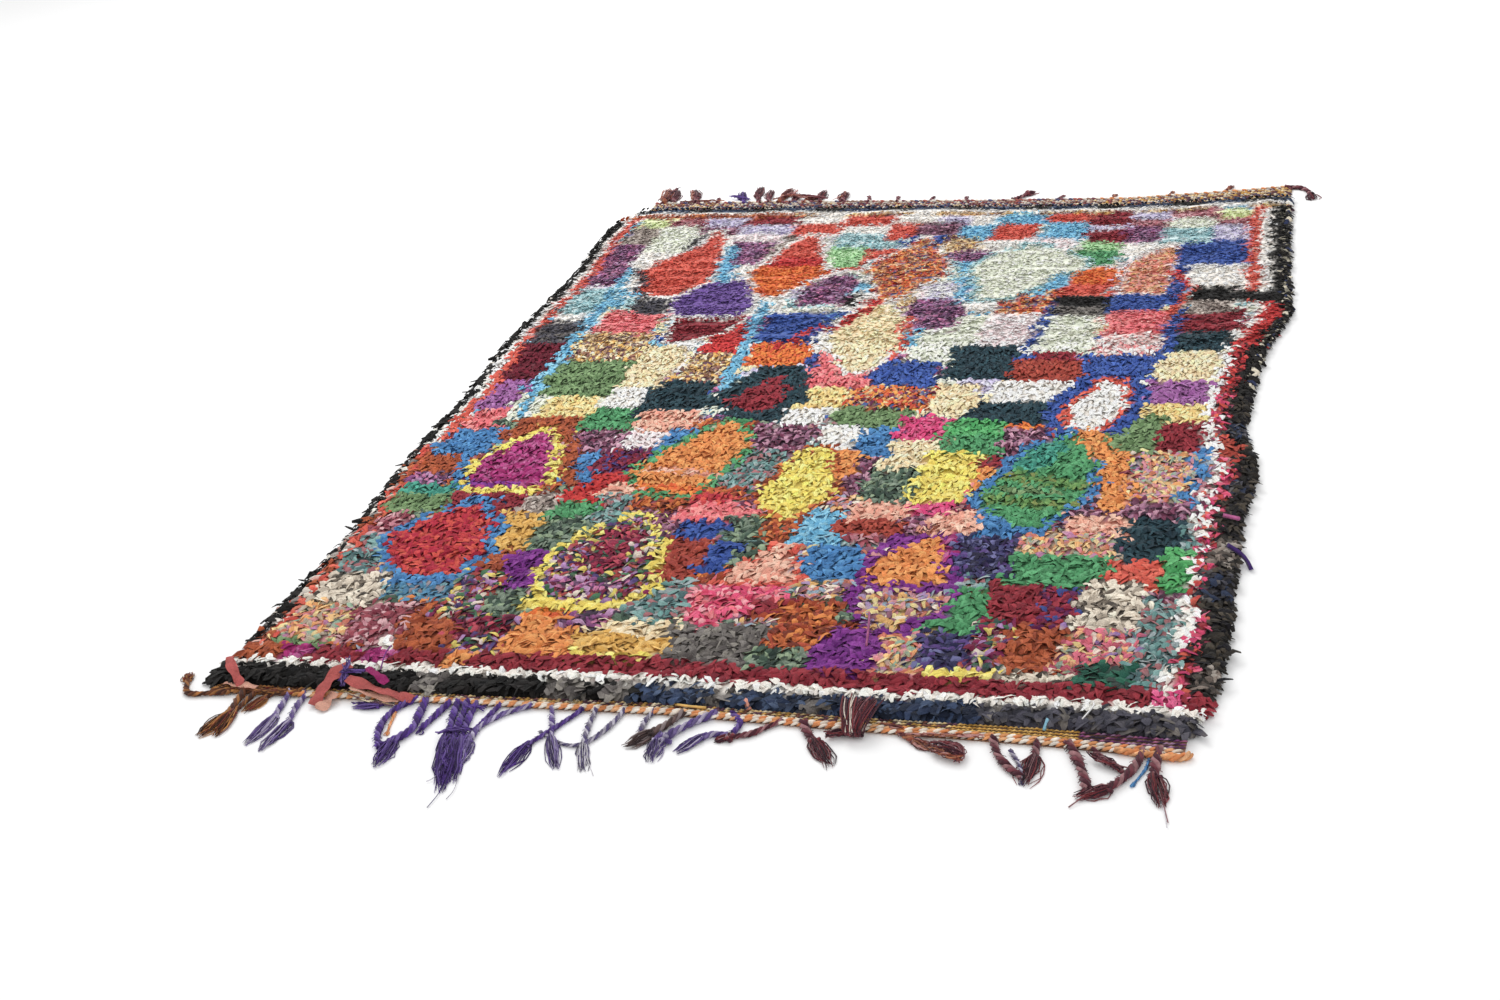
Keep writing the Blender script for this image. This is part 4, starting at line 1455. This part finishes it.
@dataclass
class CordMaker:
    """Plies, knots and loosens warp ends."""

    rng: np.random.Generator
    plies: int = 3
    ring_step: float = 0.0030
    twist_length: float = 2.6
    flatness: float = 0.85
    stray_share: float = 0.28

    def smooth_path(self, points: np.ndarray, step: float) -> np.ndarray:
        """Draws an even, rounded path through a few points.

        Args:
            points: The points that the path follows.
            step: Distance between the new points.

        Returns:
            The path's points.
        """
        for _ in range(2):
            cut = np.stack([0.75 * points[:-1] + 0.25 * points[1:], 0.25 * points[:-1] + 0.75 * points[1:]], 1)
            points = np.concatenate([points[:1], cut.reshape(-1, points.shape[1]), points[-1:]])
        gaps = np.linalg.norm(np.diff(points, axis=0), axis=1)
        run = np.concatenate([[0.0], np.cumsum(gaps)])
        places = np.linspace(0.0, run[-1], max(4, int(run[-1] / step) + 1))
        return np.stack([np.interp(places, run, points[:, axis]) for axis in range(points.shape[1])], 1)

    def ply(self, strips: Strips, path: np.ndarray, width: float, yarn: Yarn) -> None:
        """Twists the plies of one cord round its path, each ply of its own dye.

        Args:
            strips: The mesh that takes them.
            path: The cord's centre line.
            width: The cord's width.
            yarn: The yarn that it is spun from.
        """
        count = len(path)
        heading = unit(np.gradient(path, axis=0))
        side = unit(np.cross(heading, (0.0, 0.0, 1.0)))
        normal = np.cross(side, heading)
        run = self.ring_step * np.arange(count)
        start = self.rng.uniform(0.0, 2.0 * math.pi)
        swell = 1.0 + 0.12 * np.sin(run / 0.009 + start) + self.rng.normal(0.0, 0.05, count)
        dyes = DYES[NUMBER[yarn], np.arange(self.plies) % DYE_COUNTS[NUMBER[yarn]]]
        for ply in range(self.plies):
            angle = start + 2.0 * math.pi * (run / (self.twist_length * width) + ply / self.plies)
            offset = 0.27 * width * swell
            centre = path + side * (np.cos(angle) * offset)[:, None]
            centre = centre + normal * (np.sin(angle) * offset * self.flatness)[:, None]
            size = np.full(count, 0.52 * width) * swell * self.rng.uniform(0.88, 1.12, count)
            size[-1] *= 0.6
            tone = 1.0 + self.rng.normal(0.0, 0.14, (count, 1))
            colours = np.clip(dyes[ply][None] * tone, 0.004, 0.95)
            strips.sweep(centre[None], size[None], size[None], colours[None], 4)
        self.fuzz(strips, path, heading, width, yarn)

    def fuzz(
        self, strips: Strips, path: np.ndarray, heading: np.ndarray, width: float, yarn: Yarn
    ) -> None:
        """Raises short stray fibres along a cord.

        Args:
            strips: The mesh that takes them.
            path: The cord's centre line.
            heading: Its direction at each point.
            width: The cord's width.
            yarn: The yarn that it is spun from.
        """
        count = max(2, int(self.stray_share * len(path) * 2.0))
        picks = self.rng.integers(1, len(path) - 1, count)
        side = unit(np.cross(heading[picks], (0.0, 0.0, 1.0))) * self.rng.choice((-1.0, 1.0), (count, 1))
        reach = self.rng.uniform(0.35, 0.75, (count, 1)) * width
        ahead = heading[picks] * self.rng.uniform(0.2, 0.9, (count, 1)) * width
        along = np.array((0.0, 0.5, 1.0))
        out = side * (0.35 * width) + side * reach * 0.6
        paths = path[picks][:, None] + along[None, :, None] * (out + ahead)[:, None]
        paths[..., 2] = np.maximum(0.0012, paths[..., 2] + (0.15 * width) * (1.0 - along)[None])
        size = np.full((count, 3), 0.0009)
        colours = np.repeat(dyed(np.full(count, NUMBER[yarn]), self.rng, 0.1)[:, None], 3, axis=1)
        strips.sweep(paths, size, size, colours, 3)

    def loosen(
        self,
        strips: Strips,
        start: np.ndarray,
        tip: np.ndarray,
        width: float,
        yarn: Yarn,
        threads: int,
    ) -> None:
        """Splays the loose threads at the tip of a cord into a brush.

        Args:
            strips: The mesh that takes them.
            start: Where the threads part.
            tip: Where the longest of them end.
            width: The cord's width.
            yarn: The yarn that it is spun from.
            threads: Number of threads.
        """
        way = (tip - start) * np.array((1.0, 1.0, 0.0))
        length = float(np.linalg.norm(way))
        heading = unit(way)
        side = unit(np.cross(heading, (0.0, 0.0, 1.0)))
        across = self.rng.normal(0.0, 0.42, threads)
        rings = 5
        along = np.linspace(0.0, 1.0, rings)
        reach = length * self.rng.uniform(0.6, 1.05, threads)
        spread = np.interp(along, (0.0, 0.3, 0.75, 1.0), (0.35, 0.95, 0.90, 0.50))
        waver = self.rng.normal(0.0, 0.16, (threads, rings)) * along[None]
        offset = width * (across[:, None] * spread[None] * 1.5 + waver * 1.4)
        paths = start[None, None] + heading[None, None] * (reach[:, None] * along[None])[..., None]
        paths = paths + side[None, None] * offset[..., None]
        pile = np.clip(1.0 - across**2, 0.15, 1.0) * self.rng.uniform(0.1, 1.0, threads)
        height = np.interp(along, (0.0, 0.3, 1.0), (0.8, 1.0, 0.3))
        paths[..., 2] = 0.0010 + width * 0.9 * pile[:, None] * height[None]
        size = self.rng.uniform(0.0012, 0.0023, threads)[:, None] * np.interp(along, (0, 0.8, 1), (1, 1, 0.4))
        colours = dyed(np.full(threads, NUMBER[yarn]), self.rng, 0.14)
        colours = np.repeat(colours[:, None], rings, axis=1)
        strips.sweep(paths, size, size, colours, 3)

    def knot(self, strips: Strips, centre: np.ndarray, heading: np.ndarray, width: float, yarn: Yarn) -> None:
        """Ties an overhand knot.

        Args:
            strips: The mesh that takes it.
            centre: Middle of the knot.
            heading: The way that the cord runs there.
            width: The cord's width.
            yarn: The yarn that it is spun from.
        """
        side = unit(np.cross(heading, (0.0, 0.0, 1.0)))
        turn = np.linspace(0.0, 2.0 * math.pi, 22)
        reach = 0.26 * width
        p = np.sin(turn) + 2.0 * np.sin(2.0 * turn)
        q = np.cos(turn) - 2.0 * np.cos(2.0 * turn)
        r = -np.sin(3.0 * turn)
        path = centre[None] + heading[None] * (reach * 0.7 * p)[:, None] + side[None] * (reach * q)[:, None]
        path[:, 2] = centre[2] + 0.7 * reach * r
        size = np.full(len(turn), 0.52 * width)
        colours = dyed(np.full(len(turn), NUMBER[yarn]), self.rng, 0.08)
        strips.sweep(path[None], size[None], size[None], colours[None], 5)

    def warp_end(self, strips: Strips, end: WarpEnd) -> None:
        """Makes one warp end from the band to its tip.

        Args:
            strips: The mesh that takes it.
            end: Its yarn, width, finish and run.
        """
        width = end.width * 0.001
        lift = 0.5 * width * self.flatness
        run = np.array(end.run) * CM
        tuft = end.tip is Tip.TUFT
        path = self.smooth_path(run[:-1] if tuft else run, self.ring_step)
        wave = 0.0010 * np.sin(np.arange(len(path)) * 0.25 + self.rng.uniform(0.0, 6.0))
        path[:, 0] += wave * np.linspace(0.0, 1.0, len(path))
        heights = lift + 0.0026 * np.exp(-np.arange(len(path)) / 2.5)
        path = np.concatenate([path, heights[:, None]], axis=1)
        self.ply(strips, path, width, end.yarn)
        last = path[-1]
        heading = unit((path[-1] - path[-3]) * np.array((1.0, 1.0, 0.0)))
        if tuft:
            tip = np.array((*run[-1], last[2]))
            length = float(np.linalg.norm(tip - last))
            self.knot(strips, last, heading, 0.85 * width, end.yarn)
            self.loosen(strips, last - 0.1 * (tip - last), tip, width, end.yarn, int(20 + 420 * length))
        elif end.tip is Tip.KNOT:
            self.knot(strips, last, heading, 1.2 * width, end.yarn)
            self.loosen(strips, last, last + heading * 0.020, 0.9 * width, end.yarn, 18)
        elif end.tip is Tip.PLAIN:
            self.loosen(strips, last, last + heading * 0.010, 0.6 * width, end.yarn, 10)


@dataclass
class EndBand:
    """The flat band at one end: a woven base, rows of weft and a twined edge."""

    name: str
    table: tuple[tuple[float, float, float], ...]
    outward: float
    rows: int
    header_rows: int
    crown: float = 0.0030
    columns: int = 60
    stitch: float = 0.0066
    header_stitch: float = 0.0095

    def base(self, material: bpy.types.Material) -> bpy.types.Object:
        """Weaves the base of the band.

        Args:
            material: The finish.

        Returns:
            The base as one closed strip.
        """
        bm = bmesh.new()
        bmesh.ops.create_grid(bm, x_segments=self.columns, y_segments=4, size=0.5)
        for vert in bm.verts:
            u, v = vert.co.x + 0.5, vert.co.y + 0.5
            x = END_HALF_WIDTH * (2.0 * u - 1.0)
            foot = float(row_at(self.table, x, 1)) - 0.004 * self.outward
            edge = float(row_at(self.table, x, 2)) - 0.002 * self.outward
            rise = self.crown * (0.45 + 0.55 * min(1.0, 3.0 * (1.0 - v)))
            vert.co = Vector((x, foot + v * (edge - foot), rise))
        lower = bmesh.ops.extrude_face_region(bm, geom=bm.faces[:])["geom"]
        for item in lower:
            if isinstance(item, bmesh.types.BMVert):
                item.co.z = 0.0002
        bmesh.ops.recalc_face_normals(bm, faces=bm.faces[:])
        mesh = bpy.data.meshes.new(f"{self.name}_base")
        bm.to_mesh(mesh)
        bm.free()
        tone = np.array(linear("8A6A58"))
        paint(mesh, np.tile(tone, (len(mesh.vertices), 1)))
        return finish_piece(f"{self.name}_base", mesh, material)

    def weft_yarn(self, x: np.ndarray, rng: np.random.Generator) -> np.ndarray:
        """Chooses the yarn of each short weft stitch by its place across the band.

        Args:
            x: Across.
            rng: Source of the choices.

        Returns:
            The yarn number of each stitch.
        """
        if self.outward > 0:
            yarns = np.full(x.shape, NUMBER[Yarn.SPECKLE])
            orange = np.interp(x, (-0.60, -0.45, 0.20, 0.50), (0.5, 0.08, 0.08, 0.8))
            return np.where(rng.random(x.shape) < orange, NUMBER[Yarn.OCHRE], yarns)
        yarns = np.full(x.shape, NUMBER[Yarn.OCHRE])
        yarns[x < -0.55] = NUMBER[Yarn.TWIST_BROWN]
        yarns[(x > 0.40) & (x < 0.56)] = NUMBER[Yarn.MUSTARD]
        yarns[x > 0.56] = NUMBER[Yarn.HEATHER]
        return yarns

    def stitches(
        self, strips: Strips, rng: np.random.Generator, share: float, size: float, step: float, header: bool
    ) -> None:
        """Lays one row of slanting stitches along the band.

        Args:
            strips: The mesh that takes them.
            rng: Source of the small differences.
            share: Place of the row between the pile's foot and the band's edge.
            size: Thickness of a stitch.
            step: Length of a stitch.
            header: Whether the row is the twined edge in two colours.
        """
        x = np.arange(-END_HALF_WIDTH + 0.003, END_HALF_WIDTH - 0.003, step)
        count = len(x)
        foot = row_at(self.table, x, 1)
        edge = row_at(self.table, x, 2)
        y = foot + share * (edge - foot)
        rings = 5 if header else 3
        along = np.linspace(-0.5, 0.5, rings)
        slant = 0.30 * size if not header else 0.55 * size
        length = step * 1.5
        px = x[:, None] + length * along[None] + rng.normal(0.0, 0.0004, (count, 1))
        py = y[:, None] + 2.0 * slant * along[None] * -self.outward + rng.normal(0.0, 0.0003, (count, 1))
        base = self.crown * (0.45 + 0.55 * min(1.0, 3.0 * (1.0 - share)))
        pz = base + 0.25 * size + 0.35 * size * np.cos(math.pi * along)[None] + np.zeros((count, 1))
        width = size * np.interp(along, (-0.5, -0.3, 0.3, 0.5), (0.35, 1.0, 1.0, 0.35))
        widths = width[None] * rng.uniform(0.85, 1.15, (count, 1))
        if header:
            odd = (np.arange(count) + int(share * 40.0)) % 2 == 1
            yarns = np.where(odd, NUMBER[Yarn.TWIST_WHITE], NUMBER[Yarn.TWIST_ORANGE])
            if self.outward < 0:
                yarns[x < -0.55] = NUMBER[Yarn.TWIST_BROWN]
            else:
                plain = x < 0.30
                yarns[plain] = NUMBER[Yarn.SPECKLE]
        else:
            yarns = self.weft_yarn(x, rng)
        colours = np.repeat(dyed(yarns, rng, 0.06)[:, None], rings, axis=1)
        shade = np.interp(along, (-0.5, -0.2, 0.2, 0.5), (0.72, 1.0, 1.0, 0.72))
        strips.sweep(
            np.stack([px, py, pz], 2), widths, 0.8 * widths, colours * shade[None, :, None], 4
        )

    def build(self, rng: np.random.Generator, material: bpy.types.Material) -> list[bpy.types.Object]:
        """Weaves and edges the band.

        Args:
            rng: Source of the small differences.
            material: The finish.

        Returns:
            The base and its stitches.
        """
        pieces = [self.base(material)]
        strips = Strips()
        for row in range(self.rows):
            share = (row + 0.3) / (self.rows + self.header_rows)
            self.stitches(strips, rng, share, 0.0040, self.stitch, False)
        for row in range(self.header_rows):
            share = (self.rows + row + 0.45) / (self.rows + self.header_rows)
            self.stitches(strips, rng, share, 0.0062, self.header_stitch, True)
        pieces.append(strips.build(f"{self.name}_stitches", material, True))
        return pieces


@dataclass
class LooseRags:
    """Rags, scraps and threads that lie loose over the near border, and the folded tassel."""

    rng: np.random.Generator
    maker: CordMaker
    tassel_threads: int = 64

    def ribbon(self, strips: Strips, yarn: Yarn, width: float, places: tuple) -> None:
        """Lays one flat strip of rag with a twist in it.

        Args:
            strips: The mesh that takes it.
            yarn: The cloth that it is torn from.
            width: Its width in millimetres.
            places: Points that it runs through, in centimetres.
        """
        path = self.maker.smooth_path(np.array(places) * CM, 0.005)
        count = len(path)
        along = np.linspace(0.0, 1.0, count)
        widths = 0.001 * width * np.interp(along, (0, 0.15, 0.85, 1), (0.75, 1, 1, 0.85))
        sway = self.rng.uniform(0.0, 2.0 * math.pi, 4)
        widths = widths * (1.0 + 0.10 * np.sin(11.0 * along + sway[0]))
        depths = np.full((1, count), 0.0016)
        roll = 0.30 * np.sin(7.0 * along + sway[1]) + 0.16 * np.sin(19.0 * along + sway[2])
        tone = 1.0 + 0.08 * np.sin(15.0 * along + sway[3]) + self.rng.normal(0.0, 0.03, count)
        colours = DYES[NUMBER[yarn], 0][None] * tone[:, None]
        strips.sweep(path[None], widths[None], depths, colours[None], 4, roll[None])

    def thread(self, strips: Strips, yarn: Yarn, width: float, places: np.ndarray) -> None:
        """Lays one loose thread, its width and places in metres."""
        path = self.maker.smooth_path(places, 0.005)
        size = np.full((1, len(path)), width)
        colours = np.repeat(dyed(np.array([NUMBER[yarn]]), self.rng, 0.08)[:, None], len(path), axis=1)
        strips.sweep(path[None], size, size, colours, 3)

    def tassel(self, strips: Strips, edge: float) -> None:
        """Folds one tassel up from the band and back over the border, in two lobes.

        Args:
            strips: The mesh that takes it.
            edge: Y of the band's outer edge there.
        """
        side_view = np.array(FOLDED_TASSEL)
        count = len(side_view)
        spread = np.interp(np.arange(count), (0, 3, 5, 7), (0.5, 0.8, 1.0, 1.2))
        parting = np.interp(np.arange(count), (0, 4, 7), (0.0, 0.3, 1.0))
        for index in range(self.tassel_threads):
            lobe = -0.011 if index % 2 else 0.012
            across = self.rng.normal(0.0, 0.0062)
            lift = self.rng.uniform(-0.0040, 0.0030)
            short = 1.0 - self.rng.uniform(0.0, 0.35)
            x = FOLDED_TASSEL_ACROSS + across * spread + lobe * parting + self.rng.normal(0.0, 0.0012, count)
            out = np.where(side_view[:, 0] < 0, side_view[:, 0] * short, side_view[:, 0])
            z = np.maximum(0.0015, side_view[:, 1] + lift * np.linspace(0.4, 1.0, count))
            places = np.stack([x, edge - out, z], 1)
            yarn = Yarn.TWIST_MAROON if self.rng.random() < 0.93 else Yarn.TWIST_WHITE
            self.thread(strips, yarn, self.rng.uniform(0.0016, 0.0030), places)

    def heap(self, strips: Strips, heap: Heap) -> None:
        """Heaps slack threads along a line."""
        line = self.maker.smooth_path(np.array(heap.run) * CM, 0.009)
        reach = heap.reach * CM
        loose = np.array((1.0, 1.0, 0.45))
        for _ in range(heap.threads):
            first = self.rng.integers(0, max(1, len(line) // 2))
            last = self.rng.integers(first + min(3, len(line) - first - 1), len(line)) + 1
            part = line[first:last]
            if len(part) < 2:
                part = line
            places = part + self.rng.normal(0.0, 0.6 * reach, part.shape) * loose
            places[:, 2] = np.maximum(places[:, 2], 0.0016)
            self.thread(strips, heap.yarn, self.rng.uniform(0.0013, 0.0024), places)

    def build(
        self, edge: float, wool: bpy.types.Material, rag: bpy.types.Material
    ) -> list[bpy.types.Object]:
        """Lays all the loose pieces of the near end.

        Args:
            edge: Y of the near band's outer edge at the folded tassel.
            wool: The finish of the threads.
            rag: The finish of the torn strips.

        Returns:
            The threads and the torn strips.
        """
        threads = Strips()
        self.tassel(threads, edge)
        for heap in HEAPS:
            self.heap(threads, heap)
        for yarn, width, places in THREADS:
            self.thread(threads, yarn, 0.001 * width, np.array(places) * CM)
        torn = Strips()
        for yarn, width, places in RIBBONS:
            self.ribbon(torn, yarn, width, places)
        return [threads.build("slack_threads", wool, True), torn.build("torn_rags", rag, False)]


class Rug:
    """The whole rug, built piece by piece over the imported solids."""

    def __init__(self) -> None:
        """Prepares the finishes and the seeded sources of difference."""
        fibres = fibre_group()
        folds = (1000.0, 130.0, 1.0)
        blotches = (95.0, 95.0, 95.0)
        rag = ClothFinish("Dyed rag", 520.0, 0.38, 0.86, 0.05, 0.0013, BAKE_MAP, folds)
        wool = ClothFinish("Spun wool", 900.0, 0.28, 0.84, 0.12, 0.0005, "", blotches)
        weave = ClothFinish("Woven ground", 420.0, 0.25, 0.85, 0.15, 0.0006, "", blotches)
        self.rag, self.wool, self.weave = [finish.build(fibres) for finish in (rag, wool, weave)]
        self.pattern = Pattern(np.random.default_rng(SEED))

    def build_pile(self) -> list[bpy.types.Object]:
        """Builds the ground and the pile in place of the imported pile.

        Returns:
            The ground cloth first, then the pile's pieces.
        """
        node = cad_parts["rug_pile"]
        solid = BVHTree.FromPolygons(
            [vert.co.copy() for vert in node.data.vertices],
            [tuple(face.vertices) for face in node.data.polygons],
        )
        ground = GroundCloth().build(solid, self.pattern, self.weave)
        pile = RagPile(self.pattern, np.random.default_rng(SEED + 1)).build(solid, self.rag)
        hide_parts("rug_pile")
        return [ground, *pile]

    def build_near_end(self) -> list[bpy.types.Object]:
        """Builds the near band with its warp ends and loose rags.

        Returns:
            The pieces of the near end.
        """
        rng = np.random.default_rng(SEED + 2)
        pieces = EndBand("near_band", NEAR_END, -1.0, 3, 2).build(rng, self.wool)
        maker = CordMaker(rng)
        strips = Strips()
        for end in (*NEAR_WARP_ENDS, NEAR_CORNER_CORD, NEAR_TURNED_CORD):
            maker.warp_end(strips, end)
        pieces.append(strips.build("near_warp_ends", self.wool, True))
        edge = float(row_at(NEAR_END, FOLDED_TASSEL_ACROSS, 2))
        pieces += LooseRags(rng, maker).build(edge, self.wool, self.rag)
        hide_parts("near_fringe")
        return pieces

    def build_far_end(self) -> list[bpy.types.Object]:
        """Builds the far band with its warp ends.

        Returns:
            The pieces of the far end.
        """
        rng = np.random.default_rng(SEED + 3)
        pieces = EndBand("far_band", FAR_END, 1.0, 8, 1).build(rng, self.wool)
        maker = CordMaker(rng)
        strips = Strips()
        for end in (*FAR_WARP_ENDS, FAR_CORNER_CORD):
            maker.warp_end(strips, end)
        loose = LooseRags(rng, maker)
        for heap in FAR_HEAPS:
            loose.heap(strips, heap)
        pieces.append(strips.build("far_warp_ends", self.wool, True))
        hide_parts("far_fringe")
        return pieces

    def build(self) -> None:
        ground, *pile = self.build_pile()
        near = self.build_near_end()
        far = self.build_far_end()


@dataclass(frozen=True)
class Studio:
    """A plain pale floor, soft light and the camera."""

    floor_size: float = 60.0
    lens: float = 49.54
    sensor: float = 36.0
    camera_place: tuple[float, float, float] = (0.9635, -3.0901, 1.509)
    facing: tuple[float, float] = (-0.3492, 0.9370)
    pitch: float = math.radians(27.196)
    roll: float = math.radians(-8.13)

    def floor(self) -> None:
        """Lays the floor."""
        bm = bmesh.new()
        bmesh.ops.create_grid(bm, x_segments=1, y_segments=1, size=0.5 * self.floor_size)
        mesh = bpy.data.meshes.new("studio_floor")
        bm.to_mesh(mesh)
        bm.free()
        material = bpy.data.materials.new("Pale floor")
        material.use_nodes = True
        shader = material.node_tree.nodes["Principled BSDF"]
        shader.inputs["Base Color"].default_value = (0.93, 0.93, 0.93, 1.0)
        shader.inputs["Roughness"].default_value = 0.9
        shader.inputs["Specular IOR Level"].default_value = 0.1
        mesh.materials.append(material)
        floor = bpy.data.objects.new("studio_floor", mesh)
        bpy.context.scene.collection.objects.link(floor)

    def light(self, name: str, place: tuple[float, float, float], size: float, power: float) -> None:
        """Hangs one soft light that faces the rug.

        Args:
            name: Name of the light.
            place: Where it hangs.
            size: Its side.
            power: Its power in watts.
        """
        data = bpy.data.lights.new(name, "AREA")
        data.shape = "SQUARE"
        data.size = size
        data.energy = power
        lamp = bpy.data.objects.new(name, data)
        lamp.location = place
        lamp.rotation_euler = (-Vector(place)).to_track_quat("-Z", "Y").to_euler()
        bpy.context.scene.collection.objects.link(lamp)

    def camera(self) -> None:
        """Sets up the camera from its place, heading, tilt and roll."""
        ahead = Vector((*self.facing, 0.0)).normalized()
        right = Vector((ahead.y, -ahead.x, 0.0))
        up = Vector((0.0, 0.0, 1.0))
        view = ahead * math.cos(self.pitch) - up * math.sin(self.pitch)
        lifted = ahead * math.sin(self.pitch) + up * math.cos(self.pitch)
        x_axis = right * math.cos(self.roll) + lifted * math.sin(self.roll)
        y_axis = lifted * math.cos(self.roll) - right * math.sin(self.roll)
        data = bpy.data.cameras.new("camera")
        data.lens = self.lens
        data.sensor_width = self.sensor
        data.dof.use_dof = False
        camera = bpy.data.objects.new("camera", data)
        turn = Matrix((x_axis, y_axis, -view)).transposed().to_4x4()
        camera.matrix_world = Matrix.Translation(self.camera_place) @ turn
        bpy.context.scene.collection.objects.link(camera)
        bpy.context.scene.camera = camera

    def build(self) -> None:
        """Sets up the floor, the lights and the camera."""
        world = bpy.data.worlds.new("soft_white")
        world.use_nodes = True
        background = world.node_tree.nodes["Background"]
        background.inputs["Color"].default_value = (1.0, 1.0, 1.0, 1.0)
        background.inputs["Strength"].default_value = 0.89
        bpy.context.scene.world = world
        bpy.context.scene.view_settings.view_transform = "Standard"
        self.floor()
        self.light("key", (-1.8, 2.4, 3.0), 2.4, 92.0)
        self.light("fill", (2.0, -2.6, 2.6), 2.6, 12.0)
        self.camera()


def main() -> None:
    """Builds the studio and the rug, and notes both sizes."""
    logging.basicConfig(level=logging.INFO, format="%(name)s: %(message)s")
    Studio().build()
    Rug().build()
    bpy.context.view_layer.update()


if __name__ == "__main__":
    main()
